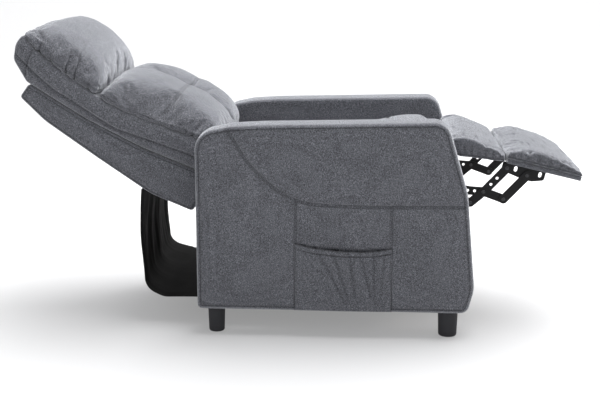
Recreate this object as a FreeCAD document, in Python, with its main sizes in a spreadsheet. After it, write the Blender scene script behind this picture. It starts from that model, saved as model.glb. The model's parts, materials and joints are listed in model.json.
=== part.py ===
import FreeCAD, Part
import math
import os

import Sketcher
from FreeCAD import Placement, Rotation, Vector

# Push-back recliner armchair, in millimetres.
# +Z is up from the floor and the sitter faces -Y. X runs across the chair, and x = 0 is its
# middle plane. The model stands fully reclined, with the footrest out.

os.makedirs("parts", exist_ok=True)
doc = FreeCAD.newDocument("recliner_armchair")
sheet = doc.addObject("Spreadsheet::Sheet", "Sizes")

# ---------------------------------------------------------------- driving dimensions
DIMENSIONS = [
    # whole chair
    ("overall_width", 680, "outside to outside of the arms"),
    ("arm_thickness", 95, "across one upholstered arm"),
    ("arm_height", 595, "floor to the front of the arm's top"),
    ("arm_drop", 17, "fall of the arm's top towards the back"),
    ("arm_rear", 366, "rear edge of the arm, behind the feet's middle"),
    ("arm_front", 381, "front edge of the arm, ahead of the feet's middle"),
    ("arm_lean", 78, "how far the front edge leans back at the top"),
    ("under_height", 76, "floor to the underside of the arms"),
    ("middle_y", -99, "middle of the feet, measured from the origin"),
    ("side_gap", 8, "free space between an arm and a cushion"),
    ("padding", 11, "foam and cover over the wooden frames"),
    # feet
    ("foot_spread", 320, "feet's middle to a front or rear foot"),
    ("foot_inset", 50, "outer face of the arm to a foot's axis"),
    ("front_foot_radius", 27.5, "front foot at its top"),
    ("rear_foot_radius", 24, "rear foot at its top"),
    ("stud_radius", 4, "threaded stud in each foot"),
    ("stud_length", 44, "stud from inside the foot to its tip"),
    # wood
    ("panel_thickness", 12, "plywood side panels"),
    ("rail_section", 24, "small side of the timber rails"),
    ("rail_height", 45, "tall side of the timber rails"),
    ("rail_lift", 4, "underside of the arms to the cross rails"),
    ("front_rail", -150, "front cross rail, behind the feet's middle"),
    ("rear_rail", 315, "rear cross rail, behind the feet's middle"),
    ("post_drop", 62, "top of the arm's frame rail below the panels' top"),
    ("toe_block", 20, "front edge of the panels to the block over the front foot"),
    ("post_setback", 90, "front edge of the panels to the front post"),
    # steel mechanism
    ("plate_thickness", 3, "links and seat plates"),
    ("base_plate_thickness", 4, "fixed plates on the arms"),
    ("cleat_thickness", 23, "timber cleat that spaces the mechanism off the arm"),
    ("plate_gap", 3, "fixed plate to seat plate"),
    ("link_gap", 2, "between neighbouring link layers"),
    ("link_width", 24, "width of a flat link"),
    ("pivot_radius", 5, "rivets at the pivots"),
    ("pivot_clearance", 0.05, "play of a pivot, on the radius"),
    ("spare_hole", 4, "unused round holes in the links, on the radius"),
    ("tube_radius", 9, "tube between the lower links"),
    ("rivet_head", 1.5, "how far a rivet stands out of its link"),
    ("stud_pin_radius", 6, "studs that slide in the fixed plates"),
    ("slide_angle", 10, "fall of the seat's slide towards the back"),
    ("slide_travel", 48, "seat travel from reclined to upright"),
    # footrest linkage, as steps between pivots
    ("front_hinge_y", -306, "fabric hinge at the seat's front edge"),
    ("front_hinge_z", 494, "height of that hinge"),
    ("upper_link_y", -62, "long link, crossing pivot to footrest"),
    ("upper_link_z", 67, "the same, upwards"),
    ("drive_link_y", -169, "drive link, seat pivot to crossing pivot"),
    ("drive_link_z", -39, "the same, upwards"),
    ("lower_link_y", 35, "long link, crossing pivot to lower pivot"),
    ("lower_link_z", -30.5, "the same, upwards"),
    ("toe_link_y", -55, "drive link, crossing pivot to its toe"),
    ("toe_link_z", -20, "the same, upwards"),
    # footrest and seat
    ("calf_slope", 7.2, "fall of the calf pad"),
    ("board_drop", 22, "front hinge down to the footrest board"),
    ("footrest_slope", 13.2, "fall of the footrest board"),
    ("footrest_length", 205, "footrest board along its slope"),
    ("board_thickness", 12, "footrest board"),
    ("footrest_pad", 38, "footrest pad over its board"),
    ("calf_length", 160, "calf pad along its slope"),
    ("calf_pad", 52, "calf pad at its thickest"),
    ("seat_slope", 8.45, "fall of the seat deck"),
    ("seat_depth", 515, "seat cushion, front to back"),
    ("seat_pad", 104, "seat cushion over its deck"),
    # back
    ("back_slope", 33.7, "rear face of the back above the level"),
    ("back_length", 570, "back frame along its slope"),
    ("back_pivot_y", 312, "pivot between the back and the fixed plates"),
    ("back_pivot_z", 392, "height of that pivot"),
    ("drive_pin_reach", 67, "back pivot to the pin that moves the seat"),
    ("drive_pin_turn", 42, "how far the back turns up"),
    ("lumbar_rise", 264, "lumbar cushion above the back's rear face"),
    ("pillow_rise", 264, "head pillow above the back's rear face"),
    # cloth
    ("cloth_thickness", 1.5, "dust cloth"),
    ("cloth_margin", 10, "dust cloth inside of the arms, each side"),
    ("webbing_thickness", 2, "webbing straps"),
    ("pocket_depth", 11, "how far the side pocket's mouth stands out"),
    ("fabric_thickness", 2.5, "doubled cover fabric"),
    ("fit_gap", 0.5, "space kept between soft pieces and their frames"),
]

for row, (alias, value, note) in enumerate(DIMENSIONS, start=1):
    sheet.set("A%d" % row, alias)
    sheet.set("B%d" % row, str(value))
    sheet.set("C%d" % row, note)
    sheet.setAlias("B%d" % row, alias)
doc.recompute()


def size(alias):
    return float(sheet.get(alias))


# ---------------------------------------------------------------- places worked out once
MID = size("middle_y")
INNER = size("overall_width") / 2 - size("arm_thickness")
CUSHION = INNER - size("side_gap")
PLATE = size("plate_thickness")

# flat steel layers, each as the distance of its inner face from the middle plane
BASE_LAYER = INNER - size("cleat_thickness") - size("base_plate_thickness")
SEAT_LAYER = BASE_LAYER - size("plate_gap") - PLATE
LINK_LAYER = SEAT_LAYER - size("link_gap") - PLATE

INNER_X = "(Sizes.overall_width / 2 - Sizes.arm_thickness)"
BASE_X = "(%s - Sizes.cleat_thickness - Sizes.base_plate_thickness)" % INNER_X
SEAT_X = "(%s - Sizes.plate_gap - Sizes.plate_thickness)" % BASE_X
LINK_X = "(%s - Sizes.link_gap - Sizes.plate_thickness)" % SEAT_X
CUSHION_WIDTH = "2 * (%s - Sizes.side_gap)" % INNER_X
PANEL_INNER_X = "(%s + Sizes.padding + Sizes.fit_gap)" % INNER_X
PANEL_OUTER_X = (
    "(Sizes.overall_width / 2 - Sizes.padding - Sizes.fit_gap - Sizes.panel_thickness)"
)

SIDES = (("left", 1), ("right", -1))


def pair(name):
    """A (y, z) step held in the sheet as two aliases."""
    return size(name + "_y"), size(name + "_z")


def add(*steps):
    return sum(s[0] for s in steps), sum(s[1] for s in steps)


def minus(step):
    return -step[0], -step[1]


class Frame:
    """A slanted frame in the side view: s runs along the slope and n away from it."""

    def __init__(self, origin, degrees, flipped=False):
        self.origin = origin
        turn = math.radians(degrees)
        self.along = (math.cos(turn), math.sin(turn))
        self.away = (-math.sin(turn), math.cos(turn))
        if flipped:
            self.away = minus(self.away)
        self.degrees = degrees
        self.flipped = flipped

    def point(self, s, n):
        return (
            self.origin[0] + s * self.along[0] + n * self.away[0],
            self.origin[1] + s * self.along[1] + n * self.away[1],
        )

    def outline(self, corners):
        return [(*self.point(s, n), radius) for s, n, radius in corners]

    def steps_to(self, place):
        """The (s, n) of a (y, z) place."""
        step = (place[0] - self.origin[0], place[1] - self.origin[1])
        return (
            step[0] * self.along[0] + step[1] * self.along[1],
            step[0] * self.away[0] + step[1] * self.away[1],
        )


FRONT_HINGE = pair("front_hinge")
UPPER = pair("upper_link")
SEAT_PIVOT = add(FRONT_HINGE, minus(UPPER))
CROSSING = add(SEAT_PIVOT, pair("drive_link"))
LOWER = add(CROSSING, pair("lower_link"))
LOWER_SEAT_PIVOT = add(SEAT_PIVOT, pair("lower_link"))
TOE = add(CROSSING, pair("toe_link"))
HEEL_PIN = add(CROSSING, UPPER)
TOE_PIN = add(TOE, UPPER)
BACK_PIVOT = pair("back_pivot")

CALF = Frame(FRONT_HINGE, 180 + size("calf_slope"), flipped=True)
BOARD = Frame(
    add(FRONT_HINGE, (-size("calf_length") - 6, -size("board_drop"))),
    180 + size("footrest_slope"),
    flipped=True,
)
DECK_FRONT = (FRONT_HINGE[0] + 21, FRONT_HINGE[1] - 44)
DECK = Frame(DECK_FRONT, -size("seat_slope"))
BACK = Frame((392, 326), size("back_slope"))

SLIDE = math.radians(size("slide_angle"))
SLIDE_STEP = (
    size("slide_travel") * math.cos(SLIDE),
    -size("slide_travel") * math.sin(SLIDE),
)


def drive_pin_place():
    """The back's lower pin: its arc is even about the line square to the seat's slide."""
    turn = -math.pi / 2 - SLIDE - math.radians(size("drive_pin_turn") / 2)
    reach = size("drive_pin_reach")
    return add(BACK_PIVOT, (reach * math.cos(turn), reach * math.sin(turn)))


DRIVE_PIN = drive_pin_place()


# ---------------------------------------------------------------- drawing helpers
def rounded(corners):
    """Edges of a closed outline: (y, z, radius) corners joined by lines and tangent arcs."""
    cut = []
    count = len(corners)
    for i in range(count):
        before = Vector(*corners[i - 1][:2], 0)
        here = Vector(*corners[i][:2], 0)
        after = Vector(*corners[(i + 1) % count][:2], 0)
        radius = corners[i][2]
        to_before = (before - here).normalize()
        to_after = (after - here).normalize()
        opening = to_before.getAngle(to_after)
        if radius <= 0 or opening > math.pi - 0.002:
            cut.append((here, None, here))
            continue
        reach = min(
            radius / math.tan(opening / 2),
            0.49 * (before - here).Length,
            0.49 * (after - here).Length,
        )
        radius = reach * math.tan(opening / 2)
        bisector = (to_before + to_after).normalize()
        centre = here + bisector * (radius / math.sin(opening / 2))
        cut.append((here + to_before * reach, centre - bisector * radius, here + to_after * reach))
    edges = []
    for i in range(count):
        start, middle, end = cut[i]
        if middle is not None:
            edges.append(Part.Arc(start, middle, end))
        following = cut[(i + 1) % count][0]
        if (following - end).Length > 1e-4:
            edges.append(Part.LineSegment(end, following))
    return edges


def bar(first, second, width):
    """Outline of a flat link with round ends."""
    one, two = Vector(*first, 0), Vector(*second, 0)
    along = (two - one).normalize()
    across = Vector(-along.y, along.x, 0) * (width / 2)
    cap = along * (width / 2)
    return [
        Part.LineSegment(one + across, two + across),
        Part.Arc(two + across, two + cap, two - across),
        Part.LineSegment(two - across, one - across),
        Part.Arc(one - across, one - cap, one + across),
    ]


def bind(obj, prop, expression):
    obj.setExpression(prop, expression)


def plane(body, role):
    return next(f for f in body.Origin.OriginFeatures if f.Role == role)


def new_body(label):
    body = doc.addObject("PartDesign::Body", label)
    body.Label = label
    bind(body, "Placement.Base.y", "Sizes.middle_y")
    return body


def side_sketch(body, edges, holes, offset):
    """A sketch in the side view, set off from the middle plane by an expression."""
    sketch = body.newObject("Sketcher::SketchObject", body.Name + "_outline")
    sketch.AttachmentSupport = [(plane(body, "YZ_Plane"), "")]
    sketch.MapMode = "FlatFace"
    bind(sketch, "AttachmentOffset.Base.z", offset)
    for edge in edges:
        sketch.addGeometry(edge)
    for number, (centre, radius, expression) in enumerate(holes):
        circle = Part.Circle(Vector(*centre, 0), Vector(0, 0, 1), radius)
        index = sketch.addGeometry(circle)
        constraint = sketch.addConstraint(Sketcher.Constraint("Radius", index, radius))
        name = "hole_%d" % number
        sketch.renameConstraint(constraint, name)
        bind(sketch, "Constraints." + name, expression)
    return sketch


def plate(label, edges, inner_face, thickness, side, holes=()):
    """A flat piece in the side view; inner_face and thickness are expressions."""
    body = new_body(label)
    low = inner_face if side > 0 else "-(%s + %s)" % (inner_face, thickness)
    sketch = side_sketch(body, edges, holes, low)
    pad = body.newObject("PartDesign::Pad", body.Name + "_pad")
    pad.Profile = sketch
    bind(pad, "Length", thickness)
    doc.recompute()
    return body


def link(label, pivots, side, inner_face, holes, width=None):
    """A flat steel link along a chain of pivots, with a hole at each listed one."""
    body = new_body(label)
    low = inner_face if side > 0 else "-(%s + Sizes.plate_thickness)" % inner_face
    width = width or size("link_width")
    for first, second in zip(pivots, pivots[1:]):
        sketch = side_sketch(body, bar(first, second, width), (), low)
        pad = body.newObject("PartDesign::Pad", body.Name + "_pad")
        pad.Profile = sketch
        bind(pad, "Length", "Sizes.plate_thickness")
        doc.recompute()
    drill(body, holes, low, "Sizes.plate_thickness")
    return body


def drill(body, holes, low, thickness):
    """Round holes through a plate, cut from its low face."""
    if not holes:
        return
    before = body.Shape.Volume
    sketch = side_sketch(body, (), holes, low)
    cut = body.newObject("PartDesign::Pocket", body.Name + "_holes")
    cut.Profile = sketch
    cut.Reversed = True
    bind(cut, "Length", thickness)
    doc.recompute()
    if body.Shape.Volume >= before - 1:
        raise RuntimeError("no hole was cut in " + body.Label)


def centred(label, corners, width):
    """A piece of one outline, padded evenly about the middle plane."""
    body = new_body(label)
    sketch = side_sketch(body, rounded(corners), (), "0")
    pad = body.newObject("PartDesign::Pad", body.Name + "_pad")
    pad.Profile = sketch
    pad.SideType = "Symmetric"
    bind(pad, "Length", width)
    doc.recompute()
    return body


def side_face(edges):
    """A flat face in the side view, from edges drawn in (y, z)."""
    wire = Part.Wire([edge.toShape() for edge in edges])
    face = Part.Face(wire)
    turn = Rotation(Vector(0, 1, 0), Vector(0, 0, 1), Vector(1, 0, 0), "ZXY")
    face.Placement = Placement(Vector(0, MID, 0), turn)
    return face


def prism(edges, low, high):
    face = side_face(edges)
    face.translate(Vector(low, 0, 0))
    return face.extrude(Vector(high - low, 0, 0))


def feature(label, shape):
    piece = doc.addObject("Part::Feature", label)
    piece.Label = label
    piece.Shape = shape
    return piece


def solids(label, shapes):
    """Several separate pieces of one kind in one node."""
    return feature(label, Part.Compound(shapes))


def rod(first_x, second_x, centre, radius):
    """A cylinder across the chair."""
    low, high = sorted((first_x, second_x))
    return Part.makeCylinder(
        radius, high - low, Vector(low, centre[0] + MID, centre[1]), Vector(1, 0, 0)
    )


def block(low, high):
    """A box from one corner to the other, given as (x, y, z) with y from the feet's middle."""
    sides = [h - l for l, h in zip(low, high)]
    return Part.makeBox(*sides, Vector(low[0], low[1] + MID, low[2]))


def slab(frame, x_range, s_range, n_range):
    """A box laid along a slanted frame."""
    corners = [
        frame.point(s_range[0], n_range[0]),
        frame.point(s_range[1], n_range[0]),
        frame.point(s_range[1], n_range[1]),
        frame.point(s_range[0], n_range[1]),
    ]
    return prism(rounded([(*c, 0) for c in corners]), *x_range)


def both_sides(maker):
    """The same piece made for the left and the right, as one list."""
    return [maker(side) for _, side in SIDES]


def across(side, near, far):
    """An x range on one side of the chair."""
    return tuple(sorted((side * near, side * far)))


# ---------------------------------------------------------------- arms
def arm_outline(inset=0.0, open_below=False):
    """The arm's side view: upright back edge, rounded top corners, leaning front edge."""
    top, rear, front = size("arm_height"), size("arm_rear"), size("arm_front")
    lean, low = size("arm_lean"), size("under_height")
    bottom = low - 5 if open_below else low + inset
    shoulder = 0.55 * top + 0.45 * low + 45
    return [
        (rear - inset, bottom, 0 if open_below else 12),
        (rear - inset, top - size("arm_drop") - inset, 70 - inset),
        (-front + lean + inset, top - inset, 46 - inset),
        (-front + 0.30 * lean + inset, shoulder, 260),
        (-front + inset, low + 62, 90),
        (-front + 14 + inset, bottom, 0 if open_below else 22),
    ]


def make_arm_cover(name, side):
    """Foam and fabric round the arm's frame, open underneath."""
    padding = size("padding")
    outer = prism(rounded(arm_outline()), *across(side, INNER, INNER + size("arm_thickness")))
    hollow = prism(
        rounded(arm_outline(padding, open_below=True)),
        *across(side, INNER + padding, INNER + size("arm_thickness") - padding)
    )
    feature("arm_cover_" + name, outer.cut(hollow))


def make_arm_frame(name, side):
    """Two plywood panels held apart by four timber posts and rails."""
    gap = size("padding") + size("fit_gap")
    panel = size("panel_thickness")
    inner = INNER + gap
    outer = INNER + size("arm_thickness") - gap
    edges = rounded(arm_outline(gap, open_below=False))
    plate("arm_inner_panel_" + name, edges, PANEL_INNER_X, "Sizes.panel_thickness", side)
    plate("arm_outer_panel_" + name, edges, PANEL_OUTER_X, "Sizes.panel_thickness", side)
    section, tall = size("rail_section"), size("rail_height")
    low, rear = size("under_height") + gap, size("arm_rear") - gap
    high = size("arm_height") - size("arm_drop") - gap - size("post_drop")
    front = gap - size("arm_front")
    toe, post = front + size("toe_block"), front + size("post_setback")
    near, far = across(side, inner + panel, outer - panel)
    pieces = [
        block((near, rear - tall, low), (far, rear, high)),
        block((near, post, low), (far, post + tall, high)),
        block((near, post + tall, high - section), (far, rear - tall, high)),
        block((near, post + tall, low), (far, rear - tall, low + section)),
        block((near, toe, low), (far, post, low + section)),
    ]
    for end in (-1, 1):
        pieces = [piece.cut(foot_stud(side, end)) for piece in pieces]
    solids("arm_posts_" + name, pieces)


# ---------------------------------------------------------------- feet
def foot_axis(side, end):
    """(x, y) of a foot; end is -1 at the front and 1 at the rear."""
    return side * (size("overall_width") / 2 - size("foot_inset")), end * size("foot_spread")


def foot_stud(side, end):
    x, y = foot_axis(side, end)
    start = size("under_height") - size("stud_length") / 2
    return Part.makeCylinder(
        size("stud_radius"), size("stud_length"), Vector(x, y + MID, start), Vector(0, 0, 1)
    )


def make_foot(label, side, end, alias):
    """A turned plastic foot: slight taper, rounded rim, and a socket for its stud."""
    body = doc.addObject("PartDesign::Body", label)
    body.Label = label
    x, y = foot_axis(side, end)
    sign = "" if side > 0 else "-"
    bind(body, "Placement.Base.x", sign + "(Sizes.overall_width / 2 - Sizes.foot_inset)")
    bind(body, "Placement.Base.y", "Sizes.middle_y + %d * Sizes.foot_spread" % end)
    sketch = body.newObject("Sketcher::SketchObject", label + "_profile")
    sketch.AttachmentSupport = [(plane(body, "XZ_Plane"), "")]
    sketch.MapMode = "FlatFace"
    top, radius = size("under_height"), size(alias)
    sole, socket = radius - 2.5, size("stud_radius")
    socket_floor = top - size("stud_length") / 2
    profile = [
        (0, 0, 0), (sole, 0, 5), (radius, top, 0), (socket, top, 0),
        (socket, socket_floor, 0), (0, socket_floor, 0),
    ]
    for edge in rounded(profile):
        sketch.addGeometry(edge)
    turned = body.newObject("PartDesign::Revolution", label + "_turned")
    turned.Profile = sketch
    turned.ReferenceAxis = (sketch, ["V_Axis"])
    turned.Angle = 360
    doc.recompute()


def make_feet():
    for name, side in SIDES:
        make_foot("foot_front_" + name, side, -1, "front_foot_radius")
        make_foot("foot_rear_" + name, side, 1, "rear_foot_radius")
    solids("foot_studs", [foot_stud(side, end) for _, side in SIDES for end in (-1, 1)])


# ---------------------------------------------------------------- fixed base
def make_cross_rails():
    """Two timber rails that tie the arms together, low down."""
    for label, alias in (("front_cross_rail", "front_rail"), ("rear_cross_rail", "rear_rail")):
        rail = doc.addObject("Part::Box", label)
        rail.Label = label
        bind(rail, "Length", "2 * " + INNER_X)
        bind(rail, "Width", "Sizes.rail_section")
        bind(rail, "Height", "Sizes.rail_height")
        bind(rail, "Placement.Base.x", "-" + INNER_X)
        bind(rail, "Placement.Base.y", "Sizes.%s + Sizes.middle_y" % alias)
        bind(rail, "Placement.Base.z", "Sizes.under_height + Sizes.rail_lift")
    doc.recompute()


SLOT_PLACES = ((-130, 322), (130, 292))
CLEAT = ((-235, 225), (290, 275))
BOLT_YS = (-190, 30, 250)
BOLT_Z = 250
BOLT_RADIUS = 3


def slot_cut(start, side):
    """The slanted slot that a seat stud slides along."""
    end = add(start, SLIDE_STEP)
    width = 2 * (size("stud_pin_radius") + size("pivot_clearance"))
    return prism(bar(start, end, width), *across(side, BASE_LAYER - 1, INNER + 1))


def make_base_plate(name, side):
    """Fixed steel plate: two slots for the seat's studs, and an ear for the back's pivot."""
    ear_y, ear_z = BACK_PIVOT
    outline = [
        (-235, 228, 8), (-235, 345, 12), (-60, 352, 40), (215, 325, 40),
        (ear_y - 22, ear_z + 20, 14), (ear_y + 22, ear_z + 20, 14),
        (ear_y + 22, ear_z - 30, 30), (285, 228, 10),
    ]
    low, high = across(side, BASE_LAYER, BASE_LAYER + size("base_plate_thickness"))
    shape = prism(rounded(outline), low, high)
    for start in SLOT_PLACES:
        shape = shape.cut(slot_cut(start, side))
    for y in BOLT_YS:
        shape = shape.cut(rod(low, high, (y, BOLT_Z), BOLT_RADIUS))
    shape = shape.cut(rod(low, high, BACK_PIVOT, size("pivot_radius")))
    feature("base_plate_" + name, shape)


def make_cleat(name, side):
    (rear_low, low), (front_high, high) = CLEAT
    x_low, x_high = across(side, INNER - size("cleat_thickness"), INNER)
    shape = block((x_low, rear_low, low), (x_high, front_high, high))
    for y in BOLT_YS:
        shape = shape.cut(rod(x_low, x_high, (y, BOLT_Z), BOLT_RADIUS))
    feature("mechanism_cleat_" + name, shape)


def make_base_bolts():
    """Bolts through the fixed plates into the cleats, with round heads."""
    bolts = []
    for _, side in SIDES:
        for y in BOLT_YS:
            shank = rod(side * BASE_LAYER, side * INNER, (y, BOLT_Z), BOLT_RADIUS)
            head = rod(side * (BASE_LAYER - 2), side * BASE_LAYER, (y, BOLT_Z), 2 * BOLT_RADIUS)
            bolts.append(shank.fuse(head).removeSplitter())
    solids("base_bolts", bolts)


def make_back_pivots():
    """Shouldered rivets in the fixed plates' ears, on which the back brackets turn."""
    outside = BASE_LAYER + size("base_plate_thickness")
    inside = LINK_LAYER - size("rivet_head")
    solids("back_pivot_rivets", both_sides(
        lambda side: rod(side * inside, side * outside, BACK_PIVOT, size("pivot_radius"))))


CLOTH_CLEARANCE = 0.2


def cloth_path():
    """Side view of the dust cloth, from the back's rear face round under the rear rail."""
    under = size("under_height") + size("rail_lift") - size("cloth_thickness") - CLOTH_CLEARANCE
    start = BACK.point(152, -29)
    return [
        (*start, 0), (542, 250, 500), (532, 100, 60), (478, under - 3, 45),
        (400, under, 300), (size("rear_rail") + 3, under, 0),
    ]


def ribbon(corners, thickness):
    """Edges of a thin strip that follows an open path of rounded corners."""
    there = [(y, z, radius) for y, z, radius in corners]
    back = []
    for i in range(len(corners)):
        here = Vector(*corners[i][:2], 0)
        before = Vector(*corners[max(i - 1, 0)][:2], 0)
        after = Vector(*corners[min(i + 1, len(corners) - 1)][:2], 0)
        first = (here - before) if i else (after - here)
        second = (after - here) if i < len(corners) - 1 else (here - before)
        first.normalize()
        second.normalize()
        normal = Vector(-first.y - second.y, first.x + second.x, 0).normalize()
        stretch = thickness / normal.dot(Vector(-first.y, first.x, 0))
        moved = here - normal * stretch
        radius = corners[i][2]
        back.append((moved.x, moved.y, radius - thickness if radius > thickness else 0))
    return rounded(there + back[::-1])


def make_dust_cloth():
    width = INNER - size("cloth_margin")
    edges = ribbon(cloth_path(), size("cloth_thickness"))
    feature("dust_cloth", prism(edges, -width, width))


def make_side_pocket():
    """A fabric pocket on the right arm's outer face, standing out at its mouth."""
    face = -size("overall_width") / 2
    depth, fabric = size("pocket_depth"), size("fabric_thickness")
    front, rear, low, mouth = -160, 96, 84, 250
    foot, rim = face - 8, face - depth

    def wedge(inset, grow):
        """A slab that is thicker at the mouth; grow leaves room for the cloth itself."""
        corners = [
            (face, low + inset), (face, mouth + (60 if inset else 0)),
            (rim + grow - (2 if inset else 0), mouth + (60 if inset else 0)),
            (rim + grow, mouth - 30), (foot + grow, low + inset),
        ]
        points = [Vector(x, front + inset + MID, z) for x, z in corners]
        wire = Part.makePolygon(points + points[:1])
        return Part.Face(wire).extrude(Vector(0, rear - front - 2 * inset, 0))

    shape = wedge(0, 0).cut(wedge(10, fabric))
    feature("side_pocket", shape)


# ---------------------------------------------------------------- seat
def make_seat_frame():
    """Two side rails and two cross rails under the seat deck."""
    section, tall = size("rail_section"), size("rail_height") - 5
    outer = LINK_LAYER - size("link_gap")
    length = size("seat_depth") - 15
    front = slab(DECK, (-outer, outer), (-12, -12 + section), (-tall, 0))
    rear = slab(DECK, (-outer, outer), (length - section, length), (-tall, 0))
    solids("seat_cross_rails", [front, rear])
    solids("seat_side_rails", both_sides(
        lambda side: slab(DECK, across(side, outer - section, outer),
                          (-12 + section, length - section), (-tall, 0))))
    width, count = 50, 4
    pitch = 2 * (outer - section) / count
    straps = []
    for i in range(count):
        x = -outer + section + pitch * (i + 0.5)
        straps.append(slab(DECK, (x - width / 2, x + width / 2), (-8, length - 4),
                           (0, size("webbing_thickness"))))
    solids("seat_webbing", straps)


def make_seat_plate(name, side):
    """Steel plate that carries the footrest links, slides on the base and is moved by the back."""
    top = 3
    tail = DRIVE_PIN
    outline = [
        (*DECK.point(26, -top), 12), (*DECK.point(440, -top), 30),
        (tail[0] + 24, tail[1] + 21, 16), (tail[0] + 22, tail[1] - 24, 16),
        (150, 276, 30), (100, 276, 20), (-90, 304, 60), (-150, 303, 20),
        (LOWER_SEAT_PIVOT[0] - 15, LOWER_SEAT_PIVOT[1] - 26, 26),
        (SEAT_PIVOT[0] - 20, SEAT_PIVOT[1] - 15, 12),
    ]
    low, high = across(side, SEAT_LAYER, SEAT_LAYER + PLATE)
    shape = prism(rounded(outline), low, high)
    for pivot in (SEAT_PIVOT, LOWER_SEAT_PIVOT):
        shape = shape.cut(rod(low, high, pivot, size("pivot_radius")))
    for start in SLOT_PLACES:
        shape = shape.cut(rod(low, high, start, size("stud_pin_radius")))
    feature("seat_plate_" + name, shape.cut(drive_slot(low, high)))


def drive_slot(low, high):
    """Slot square to the slide, in which the back's pin rises and falls."""
    drop = size("drive_pin_reach") * (1 - math.cos(math.radians(size("drive_pin_turn") / 2)))
    down = (-math.sin(SLIDE), -math.cos(SLIDE))
    first = add(DRIVE_PIN, (-down[0] * 0.5, -down[1] * 0.5))
    last = add(DRIVE_PIN, (down[0] * (drop + 0.5), down[1] * (drop + 0.5)))
    return prism(bar(first, last, 2 * (size("stud_pin_radius") + 0.45)), low, high)


def make_seat_studs():
    """Sliding studs of the seat plates, each with a spacing collar."""
    pieces = []
    for _, side in SIDES:
        for place in SLOT_PLACES:
            end = BASE_LAYER + size("base_plate_thickness") - 0.5
            stud = rod(side * SEAT_LAYER, side * end, place, size("stud_pin_radius"))
            collar = rod(side * (SEAT_LAYER + PLATE), side * (BASE_LAYER - 0.3), place,
                         1.8 * size("stud_pin_radius"))
            pieces.append(stud.fuse(collar).removeSplitter())
    solids("seat_slide_studs", pieces)


def make_seat_spacers():
    """Washer blocks that hold the seat plates off the side rails."""
    blocks = []
    outer = LINK_LAYER - size("link_gap")
    for _, side in SIDES:
        for s in (110, 260, 400):
            blocks.append(slab(DECK, across(side, outer, SEAT_LAYER), (s, s + 30), (-30, -8)))
    solids("seat_plate_spacers", blocks)


def make_seat_cushion():
    """Thick seat pad with a full roll at the front edge."""
    rise, depth = size("seat_pad"), size("seat_depth")
    front = -18
    corners = [
        (front, 4, 12), (front + 6, 50, 40), (front + 2, rise + 8, 40), (110, rise + 22, 130),
        (210, rise - 6, 120), (depth - 24, rise - 40, 26), (depth - 24, 4, 12),
    ]
    centred("seat_cushion", DECK.outline(corners), CUSHION_WIDTH)


def rivet(side, place, outer):
    """A pivot rivet from the link layer out through the seat layer."""
    head = size("rivet_head")
    ends = (LINK_LAYER - head, SEAT_LAYER + PLATE + (head if outer else 0))
    return rod(side * ends[0], side * ends[1], place, size("pivot_radius"))


def make_rivets():
    pivots = {
        "seat_pivot_rivets": (SEAT_PIVOT, LOWER_SEAT_PIVOT),
        "drive_link_rivets": (CROSSING, TOE),
        "lower_link_rivets": (LOWER,),
        "footrest_rivets": (HEEL_PIN, TOE_PIN),
    }
    for label, places in pivots.items():
        solids(label, [rivet(side, p, True) for _, side in SIDES for p in places])


# ---------------------------------------------------------------- footrest linkage
RUNNING = ("Sizes.pivot_radius + Sizes.pivot_clearance", 1)
TIGHT = ("Sizes.pivot_radius", 0)


def hole(place, kind):
    return place, size("pivot_radius") + kind[1] * size("pivot_clearance"), kind[0]


def spare_hole(place):
    """An unused round hole, punched in the links for another model of chair."""
    return place, size("spare_hole"), "Sizes.spare_hole"


def between(first, second, share):
    return (
        first[0] + (second[0] - first[0]) * share,
        first[1] + (second[1] - first[1]) * share,
    )


def make_links(name, side):
    knee = add(CROSSING, (43, 3))
    link("drive_link_" + name, (SEAT_PIVOT, knee, CROSSING, TOE), side, LINK_X,
         (hole(SEAT_PIVOT, RUNNING), hole(CROSSING, TIGHT), hole(TOE, TIGHT),
          spare_hole(between(CROSSING, knee, 0.55)), spare_hole(knee)))
    link("lower_link_" + name, (LOWER_SEAT_PIVOT, LOWER), side, LINK_X,
         (hole(LOWER_SEAT_PIVOT, RUNNING), hole(LOWER, TIGHT)))
    link("cross_link_" + name, (LOWER, CROSSING, HEEL_PIN), side, SEAT_X,
         (hole(LOWER, RUNNING), hole(CROSSING, RUNNING), hole(HEEL_PIN, RUNNING),
          spare_hole(between(CROSSING, HEEL_PIN, 0.32)), spare_hole(between(CROSSING, HEEL_PIN, 0.58))))
    link("toe_link_" + name, (TOE, TOE_PIN), side, SEAT_X,
         (hole(TOE, RUNNING), hole(TOE_PIN, RUNNING)))


def make_link_tube():
    """Round tube that makes the left and right lower links swing together."""
    place = between(LOWER_SEAT_PIVOT, LOWER, 0.35)
    feature("link_cross_tube", rod(-LINK_LAYER, LINK_LAYER, place, size("tube_radius")))


SCREW_PLACES = (25, 90)


def board_screw(side, s):
    """A round-head screw up through the bracket's flange into the footrest board."""
    y, z = BOARD.point(s, 0)
    up = Vector(0, *BOARD.away)
    foot = Vector(side * (LINK_LAYER - 11), y + MID, z) - up * (PLATE + 1.5)
    shank = Part.makeCylinder(2, PLATE + size("board_thickness") - 0.5, foot, up)
    return shank.fuse(Part.makeCylinder(4, 1.5, foot, up)).removeSplitter()


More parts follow.
